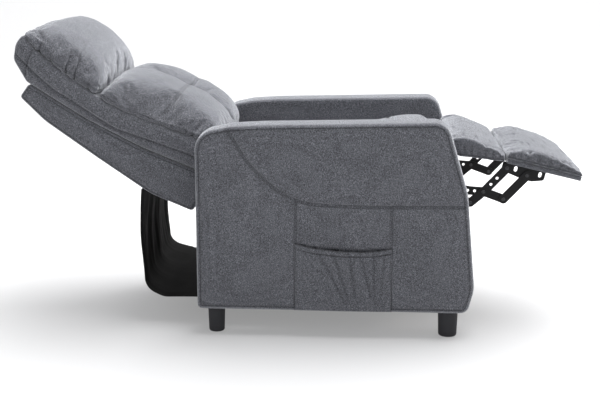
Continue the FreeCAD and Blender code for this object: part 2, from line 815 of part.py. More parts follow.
def make_footrest_bracket(name, side):
    """Slotted plate under the footrest board, with a flange for the board's screws."""
    (heel_s, heel_n), (toe_s, toe_n) = BOARD.steps_to(HEEL_PIN), BOARD.steps_to(TOE_PIN)
    outline = BOARD.outline([
        (heel_s - 14, 0, 3), (toe_s + 48, 0, 3), (toe_s + 48, -26, 8),
        (toe_s + 16, toe_n - 14, 12), (toe_s - 12, toe_n - 13, 12),
        (heel_s + 12, heel_n - 14, 12), (heel_s - 14, heel_n - 12, 10),
    ])
    low, high = across(side, LINK_LAYER, LINK_LAYER + PLATE)
    shape = prism(rounded(outline), low, high)
    for place in (HEEL_PIN, TOE_PIN):
        shape = shape.cut(rod(low, high, place, size("pivot_radius")))
    for s in (heel_s + 24, toe_s + 34):
        slot = bar(BOARD.point(s, -10), BOARD.point(s, -16), 9)
        shape = shape.cut(prism(slot, low, high))
    flange = slab(BOARD, across(side, LINK_LAYER - 22, LINK_LAYER), (heel_s, toe_s + 40),
                  (-PLATE, 0))
    for s in SCREW_PLACES:
        flange = flange.cut(board_screw(side, s))
    feature("footrest_bracket_" + name, shape.fuse(flange).removeSplitter())


def make_footrest():
    length, board = size("footrest_length"), size("board_thickness")
    screws = [board_screw(side, s) for _, side in SIDES for s in SCREW_PLACES]
    shape = slab(BOARD, (-CUSHION + 6, CUSHION - 6), (0, length), (0, board))
    for screw in screws:
        shape = shape.cut(screw)
    feature("footrest_board", shape)
    solids("footrest_screws", screws)
    rise = board + size("footrest_pad")
    gap = size("fit_gap")
    pad = [
        (-1, board + gap, 4), (-4, board + 10, 6), (30, rise - 6, 50), (90, rise + 2, 150),
        (150, rise - 2, 110), (length + 5, board + 14, 18), (length + 8, board + gap, 5),
    ]
    centred("footrest_pad", BOARD.outline(pad), CUSHION_WIDTH)


def make_calf_pad():
    """Soft pad that bridges the seat's front edge and the footrest."""
    length, rise = size("calf_length"), size("calf_pad")
    pad = [
        (5, 0, 4), (2, rise - 4, 14), (48, rise + 2, 90), (110, rise - 10, 90),
        (length, 26, 10), (length + 2, 2, 4),
    ]
    centred("calf_pad", CALF.outline(pad), CUSHION_WIDTH)


# ---------------------------------------------------------------- back
def case_outline(inset=0.0, open_below=False):
    """The back frame's case in the back's own frame: thick at the seat, thin at the head."""
    length = size("back_length")
    bottom = -30 if open_below else 0
    return [
        (bottom, inset if not open_below else inset + 2, 10), (124, -25 + inset, 260),
        (300, -23 + inset, 500), (length - 92, -18 + inset, 200),
        (length - inset, inset, 8), (length - 2 - inset, 43 - inset, 6),
        (length - 185, 49 - inset, 300), (213, 69 - inset, 300), (59, 101 - inset, 200),
        (bottom + 8, 112 - inset, 10),
    ]


def make_back_case():
    """Padded fabric case round the back's frame, open at its lower end."""
    padding = 8
    outer = prism(rounded(BACK.outline(case_outline())), -CUSHION, CUSHION)
    hollow = prism(rounded(BACK.outline(case_outline(padding, True))),
                   -CUSHION + padding, CUSHION - padding)
    feature("back_case", outer.cut(hollow))


FRAME_RAIL_N = (1, 23)


def make_back_frame():
    """Timber ladder inside the case: two side rails and three cross rails."""
    length, section = size("back_length"), size("rail_section")
    outer = LINK_LAYER
    low, high = FRAME_RAIL_N
    end = length - 46
    solids("back_side_rails", both_sides(
        lambda side: slab(BACK, across(side, outer - section, outer), (36, end), (low, high))))
    inside = outer - section
    solids("back_cross_rails", [slab(BACK, (-inside, inside), (s, s + 44), (low, high))
                                for s in (44, 270, end - 48)])
    solids("back_webbing", [
        slab(BACK, (-outer, outer), (s, s + 50), (high, high + size("webbing_thickness")))
        for s in (110, 180, 340, 410)])


def make_back_bracket(name, side):
    """Steel arm on the back's side rail, with holes for the pivot and for the seat's drive pin."""
    middle = sum(FRAME_RAIL_N) / 2
    first, last = BACK.point(60, middle), BACK.point(230, middle)
    link("back_bracket_" + name, (DRIVE_PIN, BACK_PIVOT, first, last), side, LINK_X,
         ((DRIVE_PIN, size("stud_pin_radius"), "Sizes.stud_pin_radius"),
          hole(BACK_PIVOT, RUNNING)), width=20)


def make_drive_pins():
    inside = LINK_LAYER - size("rivet_head")
    outside = SEAT_LAYER + PLATE + 0.8
    solids("seat_drive_pins", both_sides(
        lambda side: rod(side * inside, side * outside, DRIVE_PIN, size("stud_pin_radius"))))


def make_back_cushions():
    """Boxed back cushion, with a lumbar pillow and a head pillow sewn on it."""
    length, gap = size("back_length"), size("fit_gap")
    base = [
        (length + 6, 43 + 3, 14), (length + 68, 78, 26), (length + 84, 120, 50),
        (length + 70, 147, 10),
        (length + 22, 133, 60), (500, 126, 300), (390, 121, 200), (318, 127, 300),
        (175, 161, 400), (103, 179, 200), (30, 194, 20), (14, 160, 30), (12, 118, 10),
        (59, 101 + 3, 100), (213, 69 + 3, 300), (length - 185, 49 + 3, 300),
    ]
    centred("back_cushion", BACK.outline(base), CUSHION_WIDTH)
    rise = size("lumbar_rise")
    lumbar = [
        (388, 122 + gap, 6), (394, 164, 30), (362, rise - 58, 40), (300, rise - 26, 60),
        (255, rise - 16, 80), (190, rise - 6, 60), (125, rise + 4, 60), (70, rise - 6, 40),
        (42, 222, 30), (36, 193 + gap + 1, 10), (103, 179 + gap, 200), (175, 161 + gap, 400),
        (318, 127 + gap, 300),
    ]
    centred("lumbar_pillow", BACK.outline(lumbar), CUSHION_WIDTH)
    rise = size("pillow_rise")
    pillow = [
        (392, 121.5 + gap, 6), (500, 126 + gap, 300), (length + 22, 133 + gap + 1, 60),
        (length + 64, 147 + gap, 8), (length + 84, 160, 20), (length + 70, 202, 60),
        (length + 18, rise - 18, 90), (500, rise + 4, 110), (424, rise - 14, 60),
        (394, 212, 30), (404, 168, 30),
    ]
    centred("head_pillow", BACK.outline(pillow), CUSHION_WIDTH)


# ---------------------------------------------------------------- assembly
for side_name, side_sign in SIDES:
    make_arm_cover(side_name, side_sign)
    make_arm_frame(side_name, side_sign)
    make_cleat(side_name, side_sign)
    make_base_plate(side_name, side_sign)
    make_seat_plate(side_name, side_sign)
    make_links(side_name, side_sign)
    make_footrest_bracket(side_name, side_sign)
    make_back_bracket(side_name, side_sign)
make_feet()
make_cross_rails()
make_base_bolts()
make_back_pivots()
make_dust_cloth()
make_side_pocket()
make_seat_frame()
make_seat_studs()
make_seat_spacers()
make_seat_cushion()
make_rivets()
make_link_tube()
make_footrest()
make_calf_pad()
make_back_case()
make_back_frame()
make_drive_pins()
make_back_cushions()
doc.recompute()

# ---------------------------------------------------------------- checks and export
for item in doc.Objects:
    if "Invalid" in item.State or "Error" in item.State:
        raise RuntimeError("%s failed: %s" % (item.Label, item.State))

KINDS = ("PartDesign::Body", "Part::Box", "Part::Feature")
pieces = [item for item in doc.Objects if item.TypeId in KINDS]
for piece in pieces:
    if piece.Shape.isNull() or not piece.Shape.isValid():
        raise RuntimeError(piece.Label + " has no valid shape")
    if not piece.Shape.Solids:
        raise RuntimeError(piece.Label + " has no solid")
for piece in pieces:
    piece.Shape.exportStep("parts/%s.step" % piece.Label)
print(len(pieces), "pieces written")
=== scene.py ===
import json
import math

import bmesh
import bpy
import numpy as np
from bpy.props import FloatProperty, FloatVectorProperty, PointerProperty
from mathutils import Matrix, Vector, geometry, noise
from mathutils.bvhtree import BVHTree


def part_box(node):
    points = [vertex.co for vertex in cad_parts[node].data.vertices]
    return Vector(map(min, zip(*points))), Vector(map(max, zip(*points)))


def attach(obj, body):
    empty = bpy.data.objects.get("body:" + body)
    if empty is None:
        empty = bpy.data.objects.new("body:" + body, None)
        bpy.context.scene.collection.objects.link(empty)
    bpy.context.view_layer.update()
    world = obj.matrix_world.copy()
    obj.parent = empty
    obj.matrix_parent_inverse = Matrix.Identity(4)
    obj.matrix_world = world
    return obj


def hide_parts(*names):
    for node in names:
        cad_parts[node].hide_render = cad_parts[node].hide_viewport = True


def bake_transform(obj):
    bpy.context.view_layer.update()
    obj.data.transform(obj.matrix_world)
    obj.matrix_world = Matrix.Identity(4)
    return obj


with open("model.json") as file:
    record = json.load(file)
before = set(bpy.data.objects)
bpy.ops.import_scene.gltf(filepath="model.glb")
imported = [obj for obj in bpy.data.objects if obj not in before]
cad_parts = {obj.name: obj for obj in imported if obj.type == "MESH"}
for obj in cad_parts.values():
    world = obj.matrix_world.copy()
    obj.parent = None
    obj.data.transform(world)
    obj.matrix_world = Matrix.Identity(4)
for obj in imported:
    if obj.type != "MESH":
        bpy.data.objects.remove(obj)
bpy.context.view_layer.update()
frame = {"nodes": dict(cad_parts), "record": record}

bl_info = {
    "name": "Recliner Armchair",
    "version": (1, 0, 0),
    "blender": (4, 5, 0),
    "location": "3D View > Sidebar > Recliner",
    "description": "Upholstery, stitches and finishes of a push-back recliner armchair",
    "category": "Object",
}

# Side-view places are (y, z) in millimetres, with y from the middle of the feet and z from
# the floor. The sitter faces -y. The back's own frame has s up its slope and n away from it.
MM = 0.001


def centre_of(node):
    low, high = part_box(node)
    return (low + high) / 2


FEET_Y = (centre_of("foot_front_left").y + centre_of("foot_rear_left").y) / 2
ARM_LOW, ARM_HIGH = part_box("arm_cover_left")
ARM_INNER = ARM_LOW.x / MM
ARM_OUTER = ARM_HIGH.x / MM
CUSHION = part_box("back_cushion")[1].x / MM
CLOTH_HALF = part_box("dust_cloth")[1].x / MM


def place(x, y, z):
    """A point in metres in the object's frame, from millimetres in the side view."""
    return Vector((x * MM, y * MM + FEET_Y, z * MM))


class Slope:
    """A slanted frame in the side view: s runs along the slope and n away from it."""

    def __init__(self, origin, degrees, forward=False):
        self.origin = origin
        turn = math.radians(degrees)
        self.along = (math.cos(turn), math.sin(turn))
        self.away = (math.sin(turn), -math.cos(turn)) if forward else (-math.sin(turn), math.cos(turn))
        self.turn = turn

    def point(self, s, n):
        return (
            self.origin[0] + s * self.along[0] + n * self.away[0],
            self.origin[1] + s * self.along[1] + n * self.away[1],
        )

    def points(self, pairs):
        return [self.point(s, n) for s, n in pairs]

    def corners(self, triples):
        return [(*self.point(s, n), radius) for s, n, radius in triples]


BACK = Slope((392, 326), 33.7)
DECK = Slope((-285, 450), -8.45)
CALF = Slope((-306, 494), 187.2, forward=True)
BOARD = Slope((-472, 472), 193.2, forward=True)


# ---------------------------------------------------------------- settings
class ChairSizes(bpy.types.PropertyGroup):
    """Sizes of the upholstery that a maker would change."""

    stitch_pitch: FloatProperty(
        name="Stitch pitch", description="From one stitch to the next",
        default=0.0048, min=0.002, unit="LENGTH")
    thread_radius: FloatProperty(
        name="Thread radius", description="Half the thickness of the sewing thread",
        default=0.0005, min=0.0002, unit="LENGTH")
    seam_depth: FloatProperty(
        name="Seam depth", description="How deep a seam pulls into the padding",
        default=0.0024, min=0, unit="LENGTH")
    arm_crown: FloatProperty(
        name="Arm crown", description="How far an arm's faces swell between seams",
        default=0.0035, min=0, unit="LENGTH")
    cloth_pressure: FloatProperty(
        name="Filling pressure", description="Pressure of the filling while a cushion swells",
        default=4.0, min=0)
    swell_limit: FloatProperty(
        name="Swell limit", description="Most that a point of a cushion may move as it swells",
        default=0.024, min=0, unit="LENGTH")
    weave_pitch: FloatProperty(
        name="Weave pitch", description="From one thread of the cover to the next",
        default=0.0014, min=0.0005, unit="LENGTH")


class ChairColours(bpy.types.PropertyGroup):
    """Colours of the covers and the hardware."""

    cover: FloatVectorProperty(
        name="Cover", description="Middle grey of the heathered cover fabric",
        subtype="COLOR", size=3, default=(0.119, 0.122, 0.137), min=0, max=1)
    sheen: FloatVectorProperty(
        name="Cover sheen", description="Colour of the nap at low angles",
        subtype="COLOR", size=3, default=(0.93, 0.95, 1.0), min=0, max=1)
    lining: FloatVectorProperty(
        name="Dust cloth", description="Black non-woven cloth",
        subtype="COLOR", size=3, default=(0.003, 0.003, 0.003), min=0, max=1)
    hardware: FloatVectorProperty(
        name="Hardware", description="Black powder coat of the steel parts",
        subtype="COLOR", size=3, default=(0.006, 0.006, 0.0065), min=0, max=1)
    floor: FloatVectorProperty(
        name="Floor", description="Studio floor",
        subtype="COLOR", size=3, default=(0.40, 0.40, 0.405), min=0, max=1)


def sizes():
    return bpy.context.scene.recliner_sizes


def colours():
    return bpy.context.scene.recliner_colours


# ---------------------------------------------------------------- outlines and paths
def rounded(corners, step):
    """Points along a closed outline of (y, z, radius) corners, a step apart or less."""
    count = len(corners)
    cuts = []
    for i in range(count):
        before, here, after = (Vector(corners[j % count][:2]) for j in (i - 1, i, i + 1))
        to_before, to_after = (before - here).normalized(), (after - here).normalized()
        opening = to_before.angle(to_after)
        radius = corners[i][2]
        if radius <= 0 or opening > math.pi - 0.002:
            cuts.append([here])
            continue
        reach = min(radius / math.tan(opening / 2), 0.49 * (before - here).length,
                    0.49 * (after - here).length)
        radius = reach * math.tan(opening / 2)
        centre = here + (to_before + to_after).normalized() * (radius / math.sin(opening / 2))
        first, last = here + to_before * reach - centre, here + to_after * reach - centre
        steps = max(2, math.ceil(first.angle(last) * radius / step))
        cuts.append([centre + first.slerp(last, k / steps) * radius for k in range(steps + 1)])
    points = []
    for i in range(count):
        points.extend(cuts[i])
        end, following = cuts[i][-1], cuts[(i + 1) % count][0]
        steps = math.ceil((following - end).length / step)
        points.extend(end.lerp(following, k / steps) for k in range(1, steps))
    clean = [points[0]]
    for point in points[1:]:
        if (point - clean[-1]).length > 0.2:
            clean.append(point)
    return clean


def smooth(points, step=4.0):
    """A path through points, evenly divided, with soft bends."""
    raw = [Vector(p) for p in points]
    padded = [raw[0] * 2 - raw[1], *raw, raw[-1] * 2 - raw[-2]]
    dense = []
    for a, b, c, d in zip(padded, padded[1:], padded[2:], padded[3:]):
        for k in range(16):
            t = k / 16
            dense.append(0.5 * (2 * b + (c - a) * t + (2 * a - 5 * b + 4 * c - d) * t * t
                                + (3 * b - a - 3 * c + d) * t ** 3))
    dense.append(raw[-1])
    return even(dense, step)


def even(points, step):
    """The same path with its points an even step apart."""
    co = np.array([tuple(p) for p in points], float)
    run = np.concatenate([[0], np.cumsum(np.linalg.norm(np.diff(co, axis=0), axis=1))])
    at = np.linspace(0, run[-1], max(2, int(round(run[-1] / step)) + 1))
    return [Vector([np.interp(t, run, co[:, i]) for i in range(co.shape[1])]) for t in at]


def beside(path, offset):
    """A path in the side view, moved sideways by offset."""
    moved = []
    for i, here in enumerate(path):
        along = (path[min(i + 1, len(path) - 1)] - path[max(i - 1, 0)]).normalized()
        moved.append(here + Vector((-along.y, along.x)) * offset)
    return moved


def inset(ring, depth):
    """A closed outline that runs anticlockwise, moved inwards."""
    count = len(ring)
    moved = []
    for i, here in enumerate(ring):
        along = (ring[(i + 1) % count] - ring[i - 1]).normalized()
        moved.append(here - Vector((along.y, -along.x)) * depth)
    return moved


def anticlockwise(ring):
    area = sum(a.cross(b) for a, b in zip(ring, ring[1:] + ring[:1]))
    return ring if area > 0 else ring[::-1]


def distance(points, path, closed=False):
    """Distance from each (y, z) point to a path, as an array."""
    a = np.array([tuple(p)[:2] for p in path], float)
    b = np.roll(a, -1, axis=0) if closed else a[1:]
    a = a if closed else a[:-1]
    ab = b - a
    length = np.maximum((ab ** 2).sum(1), 1e-9)
    found = np.empty(len(points))
    for first in range(0, len(points), 2000):
        p = points[first:first + 2000, None, :]
        t = np.clip(((p - a) * ab).sum(2) / length, 0, 1)
        gap = p - (a + t[..., None] * ab)
        found[first:first + 2000] = np.sqrt((gap ** 2).sum(2)).min(1)
    return found


def inside(points, ring):
    """Which (y, z) points lie inside a closed outline."""
    a = np.array([tuple(p) for p in ring], float)
    b = np.roll(a, -1, axis=0)
    y, z = points[:, :1], points[:, 1:2]
    crosses = (a[:, 1] > z) != (b[:, 1] > z)
    rise = np.where(b[:, 1] == a[:, 1], 1e-9, b[:, 1] - a[:, 1])
    at = a[:, 0] + (z - a[:, 1]) * (b[:, 0] - a[:, 0]) / rise
    return (crosses & (y < at)).sum(1) % 2 == 1


def stitch_rows(seams):
    """The paths of the two stitch rows beside each seam."""
    return [beside(seam, offset) for seam in seams for offset in (-STITCH_ROW, STITCH_ROW)]


def bell(value, width):
    return np.exp(-(np.asarray(value) / width) ** 2)


def ripple(points, scale, seed):
    """Smooth noise between -1 and 1 at each point, in millimetres."""
    shift = Vector((seed * 17.3, seed * 5.1, seed * 29.7))
    return np.array([noise.noise(Vector(p) / scale + shift) for p in points]) * 1.6


# ---------------------------------------------------------------- meshes
def to_object(name, points, faces, materials=()):
    mesh = bpy.data.meshes.new(name)
    mesh.from_pydata([tuple(p) for p in points], [], [tuple(f) for f in faces])
    tidy = bmesh.new()
    tidy.from_mesh(mesh)
    bmesh.ops.remove_doubles(tidy, verts=tidy.verts, dist=0.00002)
    bmesh.ops.dissolve_degenerate(tidy, edges=tidy.edges, dist=0.00001)
    bmesh.ops.recalc_face_normals(tidy, faces=tidy.faces)
    tidy.to_mesh(mesh)
    tidy.free()
    piece = bpy.data.objects.new(name, mesh)
    bpy.context.scene.collection.objects.link(piece)
    finish_faces(piece, materials)
    return piece


def finish_faces(piece, materials):
    piece.data.materials.clear()
    for material in materials:
        piece.data.materials.append(material)
    piece.data.polygons.foreach_set("use_smooth", [True] * len(piece.data.polygons))
    piece.data.update()


def applied(piece):
    """Replaces a piece's mesh by what its modifiers make of it."""
    graph = bpy.context.evaluated_depsgraph_get()
    mesh = bpy.data.meshes.new_from_object(piece.evaluated_get(graph))
    old = piece.data
    piece.modifiers.clear()
    piece.data = mesh
    bpy.data.meshes.remove(old)
    return piece


def coordinates(piece):
    co = np.empty(len(piece.data.vertices) * 3)
    piece.data.vertices.foreach_get("co", co)
    return co.reshape(-1, 3)


def normals(piece):
    found = np.empty(len(piece.data.vertices) * 3)
    piece.data.vertex_normals.foreach_get("vector", found)
    return found.reshape(-1, 3)


def reshape(piece, co):
    piece.data.vertices.foreach_set("co", np.asarray(co, float).ravel())
    piece.data.update()


def side_view(co):
    """Metres in the object's frame to (x, y, z) in the side view's millimetres."""
    found = co.copy()
    found[:, 1] -= FEET_Y
    return found / MM


def slope_coordinates(slope, co):
    """(s, n) in a slanted frame for points in metres."""
    flat = side_view(co)[:, 1:] - np.array(slope.origin)
    return flat @ np.array(slope.along), flat @ np.array(slope.away)


# Distances in millimetres: a stitch row from a lapped seam's join, the same on a cushion's
# cross seam, and the rows of points that a side face gets beside each seam.
STITCH_ROW = 3.6
CROSS_STITCH_ROW = 4.5
SEAM_ROWS = (0, 1.4, 2.5, STITCH_ROW, 4.8, 6.2, 9.5)


def triangulated(ring, seams, spacing):
    """Points and triangles inside a closed outline, with rows of points beside each seam."""
    loose = []
    for seam in seams:
        for row in SEAM_ROWS:
            for offset in {row, -row}:
                loose.extend(beside(seam, offset))
    low, high = (np.array([f(p[i] for p in ring) for i in (0, 1)]) for f in (min, max))
    row_step = spacing * math.sqrt(3) / 2
    grid = []
    for j in range(int((high[1] - low[1]) / row_step) + 1):
        shift = (j % 2) * spacing / 2
        grid.extend((low[0] + shift + i * spacing, low[1] + j * row_step)
                    for i in range(int((high[0] - low[0]) / spacing) + 1))
    grid = np.array(grid)
    clear = np.ones(len(grid), bool)
    for seam in seams:
        clear &= distance(grid, seam) > SEAM_ROWS[-1] + spacing * 0.45
    found = np.vstack([grid[clear], np.array([tuple(p) for p in loose]).reshape(-1, 2)])
    found = found[inside(found, ring) & (distance(found, ring, True) > 1.6)]
    vertices = list(ring) + [Vector(p) for p in found]
    count = len(ring)
    edges = [(i, (i + 1) % count) for i in range(count)]
    points, _, faces, origins, _, _ = geometry.delaunay_2d_cdt(vertices, edges, [], 1, 0.02)
    where = {old: new for new, olds in enumerate(origins) for old in olds}
    return points, faces, [where[i] for i in range(count)]


def boxed(name, corners, x_low, x_high, reliefs, crown, edge=7.0, step=6.0, seams=((), ()),
          materials=()):
    """An upholstered box: two shaped side faces joined by a crowned strip with soft edges.
    reliefs gives, for the low and the high side, how far the face swells at (y, z)."""
    ring = anticlockwise(rounded(corners, step))
    corner = edge * (1 - math.cos(math.pi / 4))
    inner = inset(ring, corner)
    points, faces = [], []
    rings = []
    for x, sign, relief, lines in ((x_low, -1, reliefs[0], seams[0]), (x_high, 1, reliefs[1], seams[1])):
        flat, triangles, loop = triangulated(inner, lines, step * 1.15)
        co = np.array([tuple(p) for p in flat])
        depth = distance(co, ring, True)
        drop = np.where(depth < edge, edge - np.sqrt(np.maximum(edge ** 2 - (edge - depth) ** 2, 0)), 0)
        swell = relief(co, depth) * np.clip((depth - corner) / 10, 0, 1)
        base = len(points)
        points.extend(place(x + sign * (s - d), *p) for p, s, d in zip(co, swell, drop))
        faces.extend([base + i for i in f] for f in triangles)
        rings.append([base + i for i in loop])
    width = x_high - x_low
    rows = max(4, round(width / (step * 1.3)))
    outward = [(a - b).normalized() for a, b in zip(ring, inner)]
    previous = rings[0]
    for row in range(1, rows):
        across = corner + (width - 2 * corner) * (0.5 - 0.5 * math.cos(math.pi * row / rows))
        near = min(across, width - across)
        drop = edge - math.sqrt(max(edge ** 2 - (edge - near) ** 2, 0)) if near < edge else 0
        rise = crown * (1 - (2 * across / width - 1) ** 2) - drop
        current = []
        for p, way in zip(ring, outward):
            current.append(len(points))
            points.append(place(x_low + across, *(p + way * rise)))
        faces.extend(strip(previous, current))
        previous = current
    faces.extend(strip(previous, rings[1]))
    return to_object(name, points, faces, materials)


def paint_crease_shade(piece, dark):
    """Stores painted shade at each point, from 0 to 1, for the dark of seams, creases and folds; the
    cover darkens its colour and sheen by it.
    """
    # The seam attribute holds painted shade, not a colour of the cloth.
    layer = piece.data.attributes.new("seam", "FLOAT", "POINT")
    layer.data.foreach_set("value", np.clip(dark, 0, 1).astype(np.float32))


def paint_seam_shade(piece, seams, closed, faces_x, join=0.4, rows=0.8):
    """Paints shade into the seams on a box's side faces: the dark of the groove at each join and at the
    stitch row on each side of it.
    Closed seams are single lines."""
    co = side_view(coordinates(piece))
    dark = np.zeros(len(co))
    for seam in seams:
        gap = distance(co[:, 1:], seam)
        dark += join * bell(gap, 1.1) + rows * bell(gap - STITCH_ROW, 0.8)
    for seam in closed:
        dark += 0.8 * bell(distance(co[:, 1:], seam, True), 1.3)
    near = np.min([np.abs(co[:, 0] - x) for x in faces_x], axis=0)
    paint_crease_shade(piece, dark * np.clip((16 - near) / 6, 0, 1))


def strip(first, second):
    count = len(first)
    return [(first[i], first[(i + 1) % count], second[(i + 1) % count], second[i]) for i in range(count)]


def tube_of(sections, closed_ends=True):
    """Points and faces of a closed form through rings of equal length."""
    points, faces = [], []
    count = len(sections[0])
    for ring in sections:
        points.extend(ring)
    for row in range(len(sections) - 1):
        first = range(row * count, (row + 1) * count)
        second = range((row + 1) * count, (row + 2) * count)
        faces.extend(strip(first, second))
    if closed_ends:
        faces.append(range(count))
        faces.append(range(len(points) - count, len(points)))
    return points, faces


def superellipse(share, power):
    return max(0.0, 1 - abs(share) ** power) ** (1 / power)


def remeshed(piece, voxel):
    modifier = piece.modifiers.new("Even mesh", "REMESH")
    modifier.mode = "VOXEL"
    modifier.voxel_size = voxel
    return applied(piece)


SWELL_FRAMES = 20


def swell(piece, pinned, slack, limit=None):
    """Fills a cushion: its cover, cut slack, swells under pressure while sewn points stay."""
    start = coordinates(piece)
    group = piece.vertex_groups.new(name="sewn")
    for strength in (1.0, 0.5):
        chosen = np.nonzero(np.isclose(pinned, strength, atol=0.25))[0]
        group.add([int(i) for i in chosen], strength, "REPLACE")
    cloth = piece.modifiers.new("Cloth", "CLOTH")
    settings = cloth.settings
    settings.quality = 6
    settings.mass = 0.25
    settings.tension_stiffness = 18
    settings.compression_stiffness = 12
    settings.shear_stiffness = 6
    settings.bending_stiffness = 0.35
    settings.tension_damping = 8
    settings.compression_damping = 8
    settings.air_damping = 2
    settings.use_pressure = True
    settings.uniform_pressure_force = sizes().cloth_pressure
    settings.shrink_min = -slack
    settings.vertex_group_mass = group.name
    settings.effector_weights.gravity = 0
    cloth.collision_settings.use_collision = False
    cloth.point_cache.frame_start = 1
    cloth.point_cache.frame_end = SWELL_FRAMES
    scene = bpy.context.scene
    for number in range(1, SWELL_FRAMES + 1):
        scene.frame_set(number)
    graph = bpy.context.evaluated_depsgraph_get()
    result = piece.evaluated_get(graph).data
    moved = np.empty(len(result.vertices) * 3)
    result.vertices.foreach_get("co", moved)
    moved = moved.reshape(-1, 3) - start
    most = sizes().swell_limit if limit is None else limit
    reach = np.linalg.norm(moved, axis=1)
    moved *= (np.minimum(reach, most) / np.maximum(reach, 1e-9))[:, None]
    piece.modifiers.clear()
    piece.vertex_groups.clear()
    reshape(piece, start + moved)
    scene.frame_set(1)
    return piece


def thickened(piece, thickness, materials):
    """Gives a sheet its thickness, half on each side."""
    wall = piece.modifiers.new("Cloth thickness", "SOLIDIFY")
    wall.thickness = thickness
    wall.offset = 0
    applied(piece)
    finish_faces(piece, materials)
    return piece


def grid_faces(rows, columns):
    """Faces of a grid whose points run row by row, with columns + 1 points in each."""
    wide = columns + 1
    return [(i * wide + k, i * wide + k + 1, (i + 1) * wide + k + 1, (i + 1) * wide + k)
            for i in range(rows) for k in range(columns)]


def subdivided(piece):
    modifier = piece.modifiers.new("Finer", "SUBSURF")
    modifier.levels = 1
    modifier.render_levels = 1
    return applied(piece)


# A soft piece bends back from this share of its limit on, over this further share.
EASE_FROM, EASE_OVER = 0.97, 0.03


def keep_within(piece, half_width):
    """Keeps a soft piece clear of the arms."""
    co = coordinates(piece)
    limit = half_width * MM
    over = np.abs(co[:, 0]) > limit * EASE_FROM
    excess = (np.abs(co[over, 0]) - limit * EASE_FROM) / (limit * EASE_OVER)
    co[over, 0] = np.sign(co[over, 0]) * limit * (EASE_FROM + EASE_OVER * np.tanh(excess))
    reshape(piece, co)
    return piece


def surface_of(piece):
    graph = bpy.context.evaluated_depsgraph_get()
    return BVHTree.FromObject(piece, graph)


def laid_on(surface, points, direction, lift=0.0003, reach=0.12):
    """Points dropped onto a surface along a direction, in metres."""
    way = Vector(direction).normalized()
    laid = []
    for point in points:
        hit, normal, _, _ = surface.ray_cast(point - way * reach, way, 2 * reach)
        if hit is not None:
            laid.append(hit - way * lift)
    return laid


# ---------------------------------------------------------------- materials
def node(tree, kind, inputs=(), **settings):
    made = tree.nodes.new(kind)
    for key, value in settings.items():
        setattr(made, key, value)
    for key, value in dict(inputs).items():
        if isinstance(value, bpy.types.NodeSocket):
            tree.links.new(value, made.inputs[key])
        else:
            made.inputs[key].default_value = value
    return made


def maths(tree, operation, first, second=0.0, third=0.0):
    made = node(tree, "ShaderNodeMath", {0: first, 1: second, 2: third}, operation=operation)
    return made.outputs[0]


def ramp(tree, factor, stops):
    made = node(tree, "ShaderNodeValToRGB", {"Fac": factor})
    elements = made.color_ramp.elements
    while len(elements) < len(stops):
        elements.new(0.5)
    for element, (position, colour) in zip(elements, stops):
        element.position = position
        element.color = (*colour, 1)
    return made.outputs["Color"]


def cloudy(tree, where, scale, detail, **more):
    """Cloudy noise: a number at each point."""
    inputs = {"Vector": where, "Scale": scale, "Detail": detail, **more}
    return node(tree, "ShaderNodeTexNoise", inputs).outputs["Fac"]


def new_material(name, **constants):
    material = bpy.data.materials.get(name)
    if material:
        return material, None, None, None
    material = bpy.data.materials.new(name)
    material.use_nodes = True
    tree = material.node_tree
    shader = tree.nodes["Principled BSDF"]
    for key, value in constants.items():
        shader.inputs[key.replace("_", " ")].default_value = value
    where = node(tree, "ShaderNodeTexCoord").outputs["Object"]
    return material, tree, shader, where


def tone(colour, share):
    return tuple(min(1.0, c * share) for c in colour)


def set_bump(tree, shader, height, strength, depth):
    bump = node(tree, "ShaderNodeBump", {"Height": height, "Strength": strength, "Distance": depth})
    tree.links.new(bump.outputs["Normal"], shader.inputs["Normal"])


